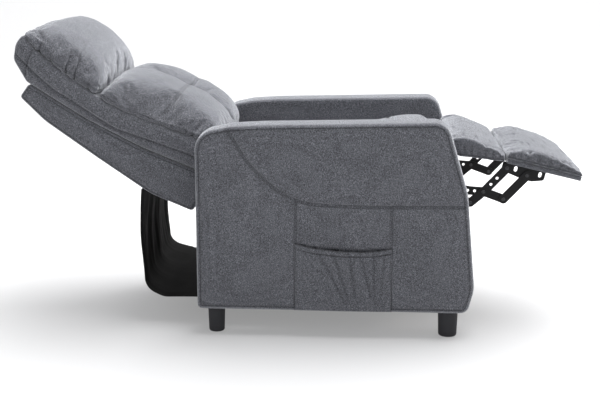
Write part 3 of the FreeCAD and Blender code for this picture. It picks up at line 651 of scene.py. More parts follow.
def heathered(name, turn=0.0):
    """Heathered upholstery: two tones of yarn in a plain weave, with a silvery nap."""
    colour, nap = colours().cover, colours().sheen
    material, tree, shader, where = new_material(
        name, Roughness=0.92, Sheen_Weight=1.0, Sheen_Roughness=0.4, Sheen_Tint=(*nap, 1),
        Specular_IOR_Level=0.18)
    if tree is None:
        return material
    turned = node(tree, "ShaderNodeMapping", {"Vector": where, "Rotation": (-turn, 0, 0)}).outputs[0]
    axes = node(tree, "ShaderNodeSeparateXYZ", {0: turned}).outputs
    turns = 2 * math.pi / sizes().weave_pitch
    waves = [maths(tree, "SINE", maths(tree, "MULTIPLY", axis, turns)) for axis in axes]
    weave = maths(tree, "ADD", maths(tree, "ADD", waves[0], waves[1]), waves[2])
    drawn = [node(tree, "ShaderNodeMapping", {"Vector": turned, "Scale": stretch}).outputs[0]
             for stretch in ((700, 700, 240), (240, 280, 700))]
    yarn = [cloudy(tree, threads, 1.0, 3.0, Roughness=0.6) for threads in drawn]
    mottle = cloudy(tree, turned, 410.0, 3.0, Roughness=0.75)
    wear = cloudy(tree, turned, 16.0, 3.0)
    halves = [maths(tree, "MULTIPLY", threads, 0.5) for threads in yarn]
    mixed = maths(tree, "ADD", *halves)
    mixed = maths(tree, "MULTIPLY_ADD", mottle, 0.95, maths(tree, "MULTIPLY", mixed, 0.9))
    mixed = maths(tree, "MULTIPLY_ADD", weave, 0.014, maths(tree, "MULTIPLY_ADD", wear, 0.04, mixed))
    heather = ramp(tree, maths(tree, "SUBTRACT", mixed, 0.45), [
        (0.30, tone(colour, 0.26)), (0.45, tone(colour, 0.76)), (0.54, tone(colour, 1.16)),
        (0.70, tone(colour, 2.6))])
    # Painted shade: the piece's seam attribute darkens the base colour and the sheen in seams, creases
    # and folds.
    seam = node(tree, "ShaderNodeAttribute", attribute_name="seam").outputs["Fac"]
    painted_shade_factor = maths(tree, "MULTIPLY_ADD", seam, -0.72, 1.0)
    shaded = node(tree, "ShaderNodeVectorMath", {0: heather, "Scale": painted_shade_factor}, operation="SCALE").outputs[0]
    tree.links.new(shaded, shader.inputs["Base Color"])
    tree.links.new(painted_shade_factor, shader.inputs["Sheen Weight"])
    set_bump(tree, shader, maths(tree, "MULTIPLY_ADD", mottle, 2.2, weave), 0.55, 0.00035)
    return material


def thread_finish():
    colour = tone(colours().cover, 0.62)
    material, tree, shader, where = new_material("cover_thread", Roughness=0.7, Sheen_Weight=0.2)
    if tree is None:
        return material
    twist = node(tree, "ShaderNodeTexWave", {"Vector": where, "Scale": 900.0, "Distortion": 2.0})
    shade = ramp(tree, twist.outputs["Fac"], [(0, tone(colour, 0.6)), (1, tone(colour, 1.3))])
    tree.links.new(shade, shader.inputs["Base Color"])
    return material


def nonwoven(name="black_nonwoven"):
    """Spun black dust cloth: matte, with a fine embossed dot and cloudy thickness."""
    colour = colours().lining
    material, tree, shader, where = new_material(
        name, Roughness=0.8, Specular_IOR_Level=0.05)
    if tree is None:
        return material
    cloud = cloudy(tree, where, 35.0, 5.0)
    dots = node(tree, "ShaderNodeTexVoronoi", {"Vector": where, "Scale": 420.0}).outputs["Distance"]
    shade = ramp(tree, cloud, [(0.3, tone(colour, 0.7)), (0.7, tone(colour, 1.6))])
    tree.links.new(shade, shader.inputs["Base Color"])
    rough = maths(tree, "MULTIPLY_ADD", cloud, 0.25, 0.65)
    tree.links.new(rough, shader.inputs["Roughness"])
    set_bump(tree, shader, maths(tree, "ADD", dots, cloud), 0.35, 0.0004)
    return material


def powder_coat():
    """Black powder coat with a fine orange-peel skin and paler rubbed patches scattered over it."""
    colour = colours().hardware
    material, tree, shader, where = new_material(
        "black_powder_coat", Roughness=0.42, Specular_IOR_Level=0.22)
    if tree is None:
        return material
    peel = cloudy(tree, where, 900.0, 2.0)
    scuff = cloudy(tree, where, 60.0, 6.0)
    shade = ramp(tree, scuff, [
        (0.35, tone(colour, 0.8)), (0.62, tone(colour, 1.5)), (0.8, tone(colour, 3.4))])
    tree.links.new(shade, shader.inputs["Base Color"])
    tree.links.new(maths(tree, "MULTIPLY_ADD", scuff, 0.3, 0.28), shader.inputs["Roughness"])
    set_bump(tree, shader, peel, 0.25, 0.0002)
    return material


def rivet_steel():
    material, tree, shader, where = new_material("rivet_steel", Metallic=0.9, Roughness=0.35)
    if tree is None:
        return material
    grain = cloudy(tree, where, 300.0, 4.0)
    shade = ramp(tree, grain, [(0.3, (0.025, 0.025, 0.027)), (0.75, (0.09, 0.09, 0.094))])
    tree.links.new(shade, shader.inputs["Base Color"])
    set_bump(tree, shader, grain, 0.2, 0.0002)
    return material


def zinc():
    material, tree, shader, where = new_material("zinc_plate", Metallic=1.0, Roughness=0.32)
    if tree is None:
        return material
    spangle = node(tree, "ShaderNodeTexVoronoi", {"Vector": where, "Scale": 350.0}).outputs["Distance"]
    shade = ramp(tree, spangle, [(0.0, (0.42, 0.43, 0.44)), (0.8, (0.66, 0.66, 0.65))])
    tree.links.new(shade, shader.inputs["Base Color"])
    set_bump(tree, shader, spangle, 0.15, 0.0002)
    return material


def foot_plastic():
    """Black moulded plastic with a fine satin grain and scuffs scattered over it."""
    material, tree, shader, where = new_material("foot_plastic", Roughness=0.5, Specular_IOR_Level=0.16)
    if tree is None:
        return material
    grain = cloudy(tree, where, 1100.0, 2.0)
    scuff = cloudy(tree, where, 45.0, 7.0)
    shade = ramp(tree, scuff, [(0.4, (0.003, 0.003, 0.0035)), (0.72, (0.008, 0.008, 0.009))])
    tree.links.new(shade, shader.inputs["Base Color"])
    tree.links.new(maths(tree, "MULTIPLY_ADD", scuff, 0.35, 0.34), shader.inputs["Roughness"])
    set_bump(tree, shader, grain, 0.2, 0.0002)
    return material


def wood(name, light, dark, grain_axis):
    """Bare wood with long grain along one axis and plies or pores across it."""
    material, tree, shader, where = new_material(name, Roughness=0.7, Specular_IOR_Level=0.3)
    if tree is None:
        return material
    stretch = [14.0, 14.0, 14.0]
    stretch[grain_axis] = 1.2
    rings = node(tree, "ShaderNodeMapping", {"Vector": where, "Scale": stretch}).outputs[0]
    figure = cloudy(tree, rings, 4.0, 6.0, Distortion=1.5)
    pores = cloudy(tree, rings, 40.0, 3.0)
    shade = ramp(tree, maths(tree, "MULTIPLY_ADD", pores, 0.25, maths(tree, "MULTIPLY", figure, 0.8)), [
        (0.3, dark), (0.5, light), (0.7, tone(light, 1.1))])
    tree.links.new(shade, shader.inputs["Base Color"])
    set_bump(tree, shader, pores, 0.3, 0.0006)
    return material


def elastic_webbing():
    material, tree, shader, where = new_material("elastic_webbing", Roughness=0.85, Sheen_Weight=0.3)
    if tree is None:
        return material
    wave = node(tree, "ShaderNodeTexWave", {"Vector": where, "Scale": 110.0}, bands_direction="X")
    ribs = wave.outputs["Fac"]
    shade = ramp(tree, ribs, [(0.2, (0.16, 0.14, 0.11)), (0.8, (0.5, 0.45, 0.37))])
    tree.links.new(shade, shader.inputs["Base Color"])
    set_bump(tree, shader, ribs, 0.6, 0.0006)
    return material


def stage_finish(name, colour):
    """Pale paper that glows by emission as painted light: faintly near the chair, which lifts the shadow
    under it, and more strongly further out.
    """
    material, tree, shader, where = new_material(name, Roughness=0.75, Specular_IOR_Level=0.1)
    if tree is None:
        return material
    cloud = cloudy(tree, where, 2.0, 2.0)
    shade = ramp(tree, cloud, [(0.3, tone(colour, 0.99)), (0.7, colour)])
    tree.links.new(shade, shader.inputs["Base Color"])
    # Painted light: the floor's emission grows with the distance from the chair.
    far = node(tree, "ShaderNodeVectorMath", {0: where}, operation="LENGTH").outputs["Value"]
    painted_floor_glow = node(tree, "ShaderNodeMapRange", {
        "Value": far, "From Min": 0.4, "From Max": 1.5, "To Min": 0.27, "To Max": 0.62},
        interpolation_type="SMOOTHSTEP").outputs[0]
    shader.inputs["Emission Color"].default_value = (1, 1, 1, 1)
    tree.links.new(painted_floor_glow, shader.inputs["Emission Strength"])
    return material


# ---------------------------------------------------------------- stitches
def stitch_tree(material):
    """A node tree that lays short thread stitches along every path it is given."""
    tree = bpy.data.node_groups.new("sewn_stitches", "GeometryNodeTree")
    face = tree.interface
    face.new_socket("Geometry", in_out="INPUT", socket_type="NodeSocketGeometry")
    sockets = {}
    for name in ("Pitch", "Radius", "Share"):
        sockets[name] = face.new_socket(name, in_out="INPUT", socket_type="NodeSocketFloat").identifier
    face.new_socket("Geometry", in_out="OUTPUT", socket_type="NodeSocketGeometry")
    given = tree.nodes.new("NodeGroupInput").outputs
    path = node(tree, "GeometryNodeMeshToCurve", {"Mesh": given["Geometry"]}).outputs[0]
    spaced = {"Curve": path, "Length": given["Pitch"]}
    spots = node(tree, "GeometryNodeCurveToPoints", spaced, mode="LENGTH")
    turn = node(tree, "FunctionNodeAlignRotationToVector", {"Vector": spots.outputs["Tangent"]}, axis="Z")
    long = maths(tree, "MULTIPLY", given["Pitch"], given["Share"])
    bar = node(tree, "GeometryNodeMeshCylinder", {
        "Vertices": 6, "Side Segments": 2, "Radius": given["Radius"], "Depth": long})
    laid = node(tree, "GeometryNodeInstanceOnPoints", {
        "Points": spots.outputs["Points"], "Instance": bar.outputs["Mesh"], "Rotation": turn.outputs[0]})
    real = node(tree, "GeometryNodeRealizeInstances", {"Geometry": laid.outputs[0]})
    painted = node(tree, "GeometryNodeSetMaterial", {"Geometry": real.outputs[0], "Material": material})
    out = tree.nodes.new("NodeGroupOutput")
    tree.links.new(painted.outputs[0], out.inputs[0])
    return tree, sockets


def stitched(name, paths, body, share=0.62):
    """Stitches along paths, as one plain mesh that rides on a body."""
    points, edges = [], []
    for path in paths:
        first = len(points)
        points.extend(tuple(p) for p in path)
        edges.extend((i, i + 1) for i in range(first, len(points) - 1))
    mesh = bpy.data.meshes.new(name)
    mesh.from_pydata(points, edges, [])
    piece = bpy.data.objects.new(name, mesh)
    bpy.context.scene.collection.objects.link(piece)
    tree, sockets = stitch_tree(thread_finish())
    modifier = piece.modifiers.new("Stitches", "NODES")
    modifier.node_group = tree
    modifier[sockets["Pitch"]] = sizes().stitch_pitch
    modifier[sockets["Radius"]] = sizes().thread_radius
    modifier[sockets["Share"]] = share
    applied(piece)
    bpy.data.node_groups.remove(tree)
    finish_faces(piece, [thread_finish()])
    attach(piece, body)
    return piece


THREADS = {}


def keep_threads(body, paths):
    """Remembers seam paths, so that each body's stitches are made as one piece."""
    THREADS.setdefault(body, []).extend(path for path in paths if len(path) > 2)


# ---------------------------------------------------------------- arms
ARM_CORNERS = (
    (366, 76, 12), (366, 560, 62), (272, 579, 160), (190, 584, 300), (-303, 595, 46),
    (-361, 402, 240), (-385, 142, 90), (-368, 76, 24),
)
SHOULDER_SEAM = (
    (281, 577), (271, 560), (255, 534), (232, 496), (208, 467), (175, 434), (137, 405), (94, 384),
    (46, 373), (-30, 369), (-126, 368), (-240, 369), (-352, 370),
)
POCKET_REAR, POCKET_FRONT = 96, -160
EDGE_SEAM = 9.5
ARM_EDGE = 9


def double_seam(distance_to_seam, depth):
    """Cross-section of a lapped seam with a stitch row on each side of its join."""
    return (-0.7 * depth * bell(distance_to_seam, 1.3)
            - 0.8 * depth * bell(distance_to_seam - STITCH_ROW, 1.2)
            + 0.5 * bell(distance_to_seam - 6.5, 2.0))


def arm_seams():
    shoulder = smooth(SHOULDER_SEAM)
    rear = smooth([(POCKET_REAR, 384), (POCKET_REAR + 0.6, 230), (POCKET_REAR, 77)])
    front = smooth([(POCKET_FRONT, 367), (POCKET_FRONT - 0.6, 230), (POCKET_FRONT, 77)])
    return [shoulder, rear, front]


def arm_face(co, depth, seams, seed, pocket=False):
    """How far an arm's padded face stands out, with seams, puckers and slow waves."""
    seam_depth, crown = sizes().seam_depth / MM, sizes().arm_crown / MM
    swell_at = crown * (1 - bell(depth, 34))
    near = np.full(len(co), 1e3)
    for seam in seams:
        gap = distance(co, seam)
        near = np.minimum(near, gap)
        swell_at += double_seam(gap, seam_depth)
    swell_at -= crown * 0.45 * bell(near, 26)
    swell_at -= 0.75 * seam_depth * bell(depth - EDGE_SEAM, 1.6)
    solid = np.column_stack([co, np.full(len(co), seed * 40.0)])
    swell_at += 1.5 * ripple(solid, 130, seed) + 0.3 * ripple(solid, 38, seed + 1)
    swell_at += 0.5 * ripple(solid, 15, seed + 2) * bell(near, 14)
    if pocket:
        under = np.clip((POCKET_REAR - co[:, 0]) / 12, 0, 1)
        under *= np.clip((co[:, 0] - POCKET_FRONT) / 12, 0, 1)
        under *= np.clip((256 - co[:, 1]) / 12, 0, 1)
        swell_at = swell_at * (1 - under) - 0.5 * under
    low = np.clip((150 - co[:, 1]) / 74, 0, 1) * (0.2 if pocket else 1)
    swell_at += 0.9 * low * np.sin(co[:, 0] / 31 + np.sin(co[:, 0] / 83) * 2) * bell(depth - 6, 22)
    return swell_at


def shade_pocket(arm):
    """Painted shade, full dark, on the arm's face inside the side pocket below its mouth."""
    co = side_view(coordinates(arm))
    layer = arm.data.attributes["seam"].data
    dark = np.empty(len(co), np.float32)
    layer.foreach_get("value", dark)
    mouth = np.interp(co[:, 1], *np.array(sorted(POCKET_MOUTH)).T)
    within = (np.abs(co[:, 0] + ARM_OUTER) < 12) & (co[:, 2] < mouth - 1)
    within &= (co[:, 1] > POCKET_FRONT + 4) & (co[:, 1] < POCKET_REAR - 4)
    # Painted shade inside the pocket, written into the seam attribute.
    layer.foreach_set("value", np.where(within, 1.0, dark).astype(np.float32))


class RECLINER_OT_arms(bpy.types.Operator):
    """Make the two upholstered arms with their lapped shoulder and side seams"""

    bl_idname = "recliner.arms"
    bl_label = "Arms"

    def execute(self, context):
        cover = heathered("cover_fabric")
        seams = arm_seams()
        ring = anticlockwise(rounded(ARM_CORNERS, 4))
        edge_path = inset(ring, EDGE_SEAM)
        for name, side in (("left", 1), ("right", -1)):
            def outer(co, depth):
                return arm_face(co, depth, seams, 1 if side > 0 else 2, side < 0)

            def inner(co, depth):
                return 0.3 * arm_face(co, depth, (), 3 if side > 0 else 4)

            low, high = sorted((side * ARM_INNER, side * ARM_OUTER))
            reliefs = (inner, outer) if side > 0 else (outer, inner)
            lines = ([edge_path], seams + [edge_path]) if side > 0 else (seams + [edge_path], [edge_path])
            arm = boxed("arm_" + name, ARM_CORNERS, low, high, reliefs, 3.0, edge=ARM_EDGE,
                        step=5.5, seams=lines, materials=[cover])
            # Painted shade in the seams of the arm's outer face and along its edge seam.
            paint_seam_shade(arm, seams, [edge_path], (side * ARM_OUTER,))
            if side < 0:
                shade_pocket(arm)
            surface = surface_of(arm)
            way = (-side, 0, 0)
            face = side * ARM_OUTER
            rows = stitch_rows(seams)
            rows.append(inset(ring, EDGE_SEAM + 3))
            keep_threads("base", [
                laid_on(surface, [place(face, *p) for p in row], way) for row in rows])
            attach(arm, "base")
            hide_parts("arm_cover_" + name)
        return {"FINISHED"}


# ---------------------------------------------------------------- side pocket
POCKET_MOUTH = ((98, 267), (60, 258), (8, 251), (-60, 247), (-116, 249), (-162, 256))
POCKET_BOTTOM = 78
POCKET_HEM = 15
# where each drawn fold meets the hem, how far it leans, and its height
POCKET_FOLDS = (
    (0.20, 0.34, 2.6), (0.36, 0.20, 2.2), (0.52, 0.10, 2.8), (0.64, 0.16, 2.0), (0.78, 0.02, 2.4),
    (0.90, -0.06, 1.8),
)


def pocket_folds(across, share):
    """Height of the drawn folds' ridges and valleys, by share across and up the pocket."""
    ridge, valley = 0.0, 0.0
    fall = np.exp(-((share - 0.6) / 0.44) ** 4)
    for start, lean, height in POCKET_FOLDS:
        off = across - start - lean * (1 - share)
        ridge = ridge + height * fall * bell(off, 0.020)
        valley = valley + height * fall * bell(off - 0.034, 0.018)
    return ridge, valley


class RECLINER_OT_pocket(bpy.types.Operator):
    """Make the gathered pocket on the right arm, with its hem standing open"""

    bl_idname = "recliner.pocket"
    bl_label = "Side pocket"

    def execute(self, context):
        mouth = smooth(POCKET_MOUTH, 3.0)
        rows = 46
        face = -ARM_OUTER
        outer = []
        for row in range(rows + 1):
            share = row / rows
            line = []
            for k, top in enumerate(mouth):
                across = k / (len(mouth) - 1)
                y = top.x
                z = POCKET_BOTTOM + (top.y - POCKET_BOTTOM) * share
                side = math.sin(math.pi * across) ** 0.55
                stand = 1.4 + (2.6 + 8.0 * share ** 2.4) * side
                drift = noise.noise(Vector((across * 3, share * 2, 0)))
                fold = math.sin(across * 19 + share * 5 + 2 * drift)
                stand += 1.3 * fold * side * (0.3 + 0.7 * share)
                pull = noise.noise(Vector((across * 5 - share * 3, share * 3 + across * 2, 4.2)))
                stand += 1.6 * pull * side
                ridge, valley = pocket_folds(across, share)
                stand += float(ridge - 0.8 * valley) * side
                below = (top.y - z)
                if below < POCKET_HEM:
                    stand += 1.2
                stand -= 1.3 * math.exp(-((below - POCKET_HEM) / 1.8) ** 2)
                line.append((face - max(stand, 0.5), y, z))
            outer.append(line)
        points = [place(*p) for line in outer for p in line]
        faces = grid_faces(rows, len(mouth) - 1)
        piece = to_object("pocket", points, faces, [heathered("cover_fabric")])
        thickened(piece, 0.0018, [heathered("cover_fabric")])
        co = side_view(coordinates(piece))
        # Painted shade on the pocket: at the hem, down its sides, along the mouth's dark slit and in the
        # valleys of the drawn folds.
        hem = distance(co[:, 1:], [p - Vector((0, POCKET_HEM)) for p in mouth])
        sides = np.minimum(np.abs(co[:, 1] - mouth[0].x), np.abs(co[:, 1] - mouth[-1].x))
        lip = distance(co[:, 1:], mouth)
        across = (co[:, 1] - mouth[0].x) / (mouth[-1].x - mouth[0].x)
        share = np.clip((co[:, 2] - POCKET_BOTTOM) / (mouth[len(mouth) // 2].y - POCKET_BOTTOM), 0, 1)
        creased = 0.16 * pocket_folds(across, share)[1]
        paint_crease_shade(piece, bell(hem, 1.5) + 0.8 * bell(sides - 1, 1.5) + 0.9 * bell(lip, 1.6) + creased)
        surface = surface_of(piece)
        rows_of_thread = [[place(face, p.x, p.y - below) for p in mouth] for below in (3, POCKET_HEM)]
        keep_threads("base", [laid_on(surface, row, (1, 0, 0), reach=0.03) for row in rows_of_thread])
        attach(piece, "base")
        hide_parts("side_pocket")
        return {"FINISHED"}


# ---------------------------------------------------------------- back
CASE_CORNERS = (
    (0, 0, 10), (124, -25, 260), (300, -23, 500), (478, -18, 200), (570, 0, 8), (568, 43, 6),
    (385, 49, 300), (213, 69, 300), (59, 101, 200), (8, 112, 10),
)
BORDER_CORNERS = (
    (576, 46, 14), (638, 78, 26), (656, 120, 50), (651, 150, 8), (592, 133, 60), (500, 126, 300),
    (390, 121, 200), (318, 127, 300), (175, 161, 400), (103, 179, 200), (30, 194, 20),
    (14, 160, 30), (12, 118, 10), (59, 104, 100), (213, 72, 300), (385, 52, 300),
)
FIRST_SEAM = (
    (640, 93), (520, 71), (446, 72), (371, 72), (301, 75), (202, 101), (89, 130), (16, 146),
)
CORNER_SEAM = ((584, 50), (600, 90), (608, 134))
SECOND_SEAM = (
    (592, 133), (505, 127), (412, 124), (377, 120), (318, 128), (244, 143), (175, 162), (103, 179),
    (40, 191),
)


class RECLINER_OT_back_case(bpy.types.Operator):
    """Make the fabric case round the back's frame"""

    bl_idname = "recliner.back_case"
    bl_label = "Back case"

    def execute(self, context):
        def face(co, depth):
            solid = np.column_stack([co, np.full(len(co), 9.0)])
            return 2.0 * (1 - bell(depth, 24)) + 0.8 * ripple(solid, 70, 5) - 1.4 * bell(depth - 6, 1.5)

        cover = heathered("cover_fabric_back", BACK.turn)
        corners = BACK.corners(CASE_CORNERS)
        ring = anticlockwise(rounded(corners, 4))
        case = boxed("back_cover", corners, -CUSHION + 2, CUSHION - 2, (face, face), 1.5, edge=5,
                     step=6.5, seams=([inset(ring, 6)], [inset(ring, 6)]), materials=[cover])
        # Painted shade along the case's edge seam.
        paint_seam_shade(case, [], [inset(ring, 6)], (-CUSHION + 2, CUSHION - 2))
        surface = surface_of(case)
        for side in (-1, 1):
            row = [place(side * CUSHION, *p) for p in inset(ring, 8.5)]
            keep_threads("back", [laid_on(surface, row, (-side, 0, 0))])
        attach(case, "back")
        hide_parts("back_case")
        return {"FINISHED"}


def border_face(co, depth, seams, seed):
    seam_depth = sizes().seam_depth / MM
    rise = 4.0 * (1 - bell(depth, 16))
    near = np.full(len(co), 1e3)
    for seam in seams:
        gap = distance(co, seam)
        near = np.minimum(near, gap)
        rise += double_seam(gap, seam_depth)
    rise -= 2.6 * bell(near, 13)
    solid = np.column_stack([co, np.full(len(co), seed * 33.0)])
    rise += 1.1 * ripple(solid, 60, seed) + 0.8 * ripple(solid, 22, seed + 1)
    return rise


class RECLINER_OT_back_border(bpy.types.Operator):
    """Make the boxed border of the back cushion, with its lengthwise and corner seams"""

    bl_idname = "recliner.back_border"
    bl_label = "Back cushion border"

    def execute(self, context):
        seams = [smooth(BACK.points(FIRST_SEAM)), smooth(BACK.points(CORNER_SEAM))]

        def face(co, depth):
            return border_face(co, depth, seams, 7)

        corners = BACK.corners(BORDER_CORNERS)
        cover = heathered("cover_fabric_back", BACK.turn)
        border = boxed("back_border", corners, -CUSHION, CUSHION, (face, face), 5.0, edge=9,
                       step=6.5, seams=(seams, seams), materials=[cover])
        # Painted shade in the border's seams.
        paint_seam_shade(border, seams, [], (-CUSHION, CUSHION), join=0.85, rows=0.2)
        surface = surface_of(border)
        top = beside(smooth(BACK.points(SECOND_SEAM)), 6)
        for side in (-1, 1):
            rows = stitch_rows(seams)
            rows.append(top)
            keep_threads("back", [
                laid_on(surface, [place(side * CUSHION, *p) for p in row], (-side, 0, 0))
                for row in rows])
        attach(border, "back")
        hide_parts("back_cushion")
        return {"FINISHED"}


def floor_at(base, s):
    """Height of a cushion's sewn base at each s."""
    return np.interp(s, *np.array(base).T)


def sewn_edge(n, floor, band, tufted=False):
    """How firmly each point is held: fully in a band over the base, half in the next one."""
    return np.where((n < floor + band) | tufted, 1.0, np.where(n < floor + 2 * band, 0.5, 0.0))


def cross_stitches(piece, slope, seam, half, above, reach):
    """The two stitch rows beside a cushion's cross seam, laid on its top."""
    surface = surface_of(piece)
    way = -Vector((0, *slope.away))
    rows = []
    for s in (seam - CROSS_STITCH_ROW, seam + CROSS_STITCH_ROW):
        line = [place(x, *slope.point(s, above)) for x in np.arange(-half, half + 1, 5)]
        rows.append(laid_on(surface, line, way, reach=reach))
    return rows


def lofted(name, profile, base, half_width, rows, height, spread, slope, step=7.0):
    """A pillow: its side profile, closed by its sewn base, shrinks on that base towards each end."""
    top = even([Vector(p) for p in smooth(profile, step)], step)
    base_line = even([Vector(p) for p in smooth(base, step)], step)
    base_s = [p.x for p in base_line][::-1]
    base_n = [p.y for p in base_line][::-1]
    if base_s[0] > base_s[-1]:
        base_s, base_n = base_s[::-1], base_n[::-1]
    sections = []
    for row in range(rows + 1):
        share = -math.cos(math.pi * row / rows)
        x = half_width * share
        ring = []
        for p in top:
            floor = float(np.interp(p.x, base_s, base_n))
            lift = (p.y - floor) * height(share, p.x)
            middle = (base_s[0] + base_s[-1]) / 2
            s = middle + (p.x - middle) * spread(share)
            ring.append(place(x, *slope.point(s, floor + lift)))
        for p in base_line if base_line[0].x < base_line[-1].x else base_line[::-1]:
            middle = (base_s[0] + base_s[-1]) / 2
            s = middle + (p.x - middle) * spread(share)
            ring.append(place(x, *slope.point(s, p.y)))
        sections.append(ring)
    points, faces = tube_of(sections)
    return to_object(name, points, faces)


PILLOW_PROFILE = (
    (645, 150), (652, 159), (648, 176), (634, 196), (610, 214), (580, 227), (546, 234), (507, 234),
    (467, 225), (433, 210), (410, 193), (399, 175), (400, 152), (396, 126),
)
PILLOW_BASE = ((398, 122), (412, 124), (505, 127), (594, 136), (644, 149))
LUMBAR_PROFILE = (
    (390, 124), (392, 152), (384, 182), (357, 206), (318, 228), (285, 241), (255, 248), (218, 253),
    (173, 260), (134, 262), (92, 255), (58, 236), (40, 212), (34, 198),
)
LUMBAR_SEAM = 212
LUMBAR_BASE = ((34, 196), (103, 180), (175, 162), (244, 143), (318, 128), (388, 123))


class RECLINER_OT_head_pillow(bpy.types.Operator):
    """Make the filled head pillow, gathered into the border seam with two deep pleats"""

    bl_idname = "recliner.head_pillow"
    bl_label = "Head pillow"

    def execute(self, context):
        def height(share, s):
            return superellipse(share, 2.3)

        def spread(share):
            return 0.985 + 0.015 * superellipse(share, 2.2)

        pillow = lofted("head_cushion", PILLOW_PROFILE, PILLOW_BASE, CUSHION, 60, height, spread, BACK)
        remeshed(pillow, 0.006)
        co = coordinates(pillow)
        s, n = slope_coordinates(BACK, co)
        pinned = sewn_edge(n, floor_at(PILLOW_BASE, s), 7)
        swell(pillow, pinned, slack=0.05, limit=0.011)
        subdivided(pillow)
        pleat(pillow, PILLOW_SEAM)
        keep_within(pillow, CUSHION + 6)
        finish_faces(pillow, [heathered("cover_fabric_back", BACK.turn)])
        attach(pillow, "back")
        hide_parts("head_pillow")
        return {"FINISHED"}


PILLOW_SEAM = 127
# where each pleat meets the border seam, its length and its depth
PLEATS = ((585, 26, 3.4), (498, 30, 5.2), (470, 46, 4.4), (425, 16, 2.0), (548, 18, 2.2), (610, 14, 1.6))


def pleat(piece, seam_n):
    """Presses pleats into a pillow's sides, deepest at the border seam, and paints shade into each pleat
    and just above the border seam.
    """
    co = coordinates(piece)
    s, n = slope_coordinates(BACK, co)
    x = np.abs(co[:, 0]) / MM
    up = n - seam_n
    out = normals(piece)
    side = np.clip((x - 150) / 50, 0, 1)
    depth, dark = np.zeros(len(co)), np.zeros(len(co))
    for start, length, deep in PLEATS:
        leaning = start + 0.35 * up + 2 * np.sin(up / 9)
        mask = bell(np.maximum(up - 4, 0), length * 1.3) * side
        depth -= 1.3 * deep * bell(s - leaning, 4.0) * mask
        depth += 0.6 * deep * bell(s - leaning - 8, 5.0) * mask
        # Painted shade in the fold of each pleat.
        dark += 0.13 * deep * bell(s - leaning, 2.6) * mask
    flat = np.column_stack([s, n, x])
    depth += 0.9 * ripple(flat * (1, 0.35, 0.35), 11, 12) * bell(up, 26) * side
    depth += 1.0 * ripple(flat, 42, 13)
    depth -= 1.3 * bell(up - 5, 2.4) * side
    paint_crease_shade(piece, dark + 0.55 * bell(up - 9, 2.0) * side)
    reshape(piece, co + out * (depth * MM)[:, None])


class RECLINER_OT_lumbar(bpy.types.Operator):
    """Make the lumbar cushion, quilted in four lobes by a cross seam and a lengthwise tuft"""

    bl_idname = "recliner.lumbar"
    bl_label = "Lumbar cushion"

    def execute(self, context):
        def height(share, s):
            x = share * CUSHION
            middle = 0.5 + 0.5 * math.exp(-((s - LUMBAR_SEAM) / 90) ** 2)
            crease = 1 - 0.28 * math.exp(-(x / 32) ** 2) * middle
            valley = 1 - 0.03 * math.exp(-((s - LUMBAR_SEAM) / 16) ** 2)
            return superellipse(share, 2.6) * crease * valley

        def spread(share):
            return 0.97 + 0.03 * superellipse(share, 2.2)

        cushion = lofted("lumbar_cushion", LUMBAR_PROFILE, LUMBAR_BASE, CUSHION, 64, height, spread, BACK)
        remeshed(cushion, 0.006)
        co = coordinates(cushion)
        s, n = slope_coordinates(BACK, co)
        x = np.abs(co[:, 0]) / MM
        tufted = (x < 6) & (np.abs(s - LUMBAR_SEAM) < 60)
        pinned = sewn_edge(n, floor_at(LUMBAR_BASE, s), 7, tufted)
        swell(cushion, pinned, slack=0.06, limit=0.018)
        subdivided(cushion)
        co = coordinates(cushion)
        s, n = slope_coordinates(BACK, co)
        x = co[:, 0] / MM
        floor = floor_at(LUMBAR_BASE, s)
        up = np.clip((n - floor) / 30, 0, 1)
        flat = np.column_stack([s, n, x])
        off = s - LUMBAR_SEAM
        beside_seam = np.abs(off) - CROSS_STITCH_ROW
        depth = -1.6 * bell(off, 2.2) * up - 1.8 * bell(beside_seam, 1.8) * up
        depth += 1.0 * ripple(flat, 40, 21)
        low = bell(n - floor, 40) * np.clip((np.abs(x) - 120) / 60, 0, 1)
        wave = np.sin(s / 4.6 + 2.2 * np.sin(s / 21)) * bell(s - 95, 60)
        depth += 3.0 * low * wave
        depth += 1.2 * ripple(flat * (1, 0.3, 0.3), 12, 22) * low
        depth += 1.6 * ripple(flat * (1, 1, 0.35), 16, 23) * bell(x, 45) * up
        reshape(cushion, co + normals(cushion) * (depth * MM)[:, None])
        # Painted shade in the cross seam and its stitch rows, in the valleys of the low waves, along the
        # tuft and along the base seam.
        dark = (0.5 * bell(off, 1.4) + 0.6 * bell(beside_seam, 1.2)) * up
        dark = dark * (np.abs(x) < 222) + 0.4 * np.maximum(-wave, 0) * low
        paint_crease_shade(cushion, dark + 0.45 * bell(x, 4) * up + 0.5 * bell(n - floor - 10, 2.0))
        keep_within(cushion, CUSHION + 2)
        finish_faces(cushion, [heathered("cover_fabric_back", BACK.turn)])
        keep_threads("back", cross_stitches(cushion, BACK, LUMBAR_SEAM, 205, 300, 0.2))
        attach(cushion, "back")
        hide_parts("lumbar_pillow")
        return {"FINISHED"}


# ---------------------------------------------------------------- seat and footrest
SEAT_PROFILE = (
    (-12, 4), (-17, 30), (-20, 58), (-16, 82), (0, 98), (28, 105), (70, 109), (120, 107), (190, 101),
    (280, 92), (380, 82), (465, 72), (487, 60), (491, 34), (490, 4),
)
SEAT_SEAM = 118
SEAT_BASE = ((-12, 1), (240, 1), (490, 1))
CALF_PROFILE = (
    (4, 2), (2, 22), (4, 42), (18, 50), (48, 52), (88, 46), (128, 35), (157, 24), (164, 12), (164, 2),
)
CALF_BASE = ((4, 1), (80, 1), (164, 1))
PAD_PROFILE = (
    (-4, 13), (-5, 22), (0, 32), (22, 41), (60, 46), (104, 46), (150, 40), (184, 31), (206, 22),
    (212, 16), (211, 13),
)
PAD_BASE = ((-4, 12.6), (105, 12.6), (211, 12.6))


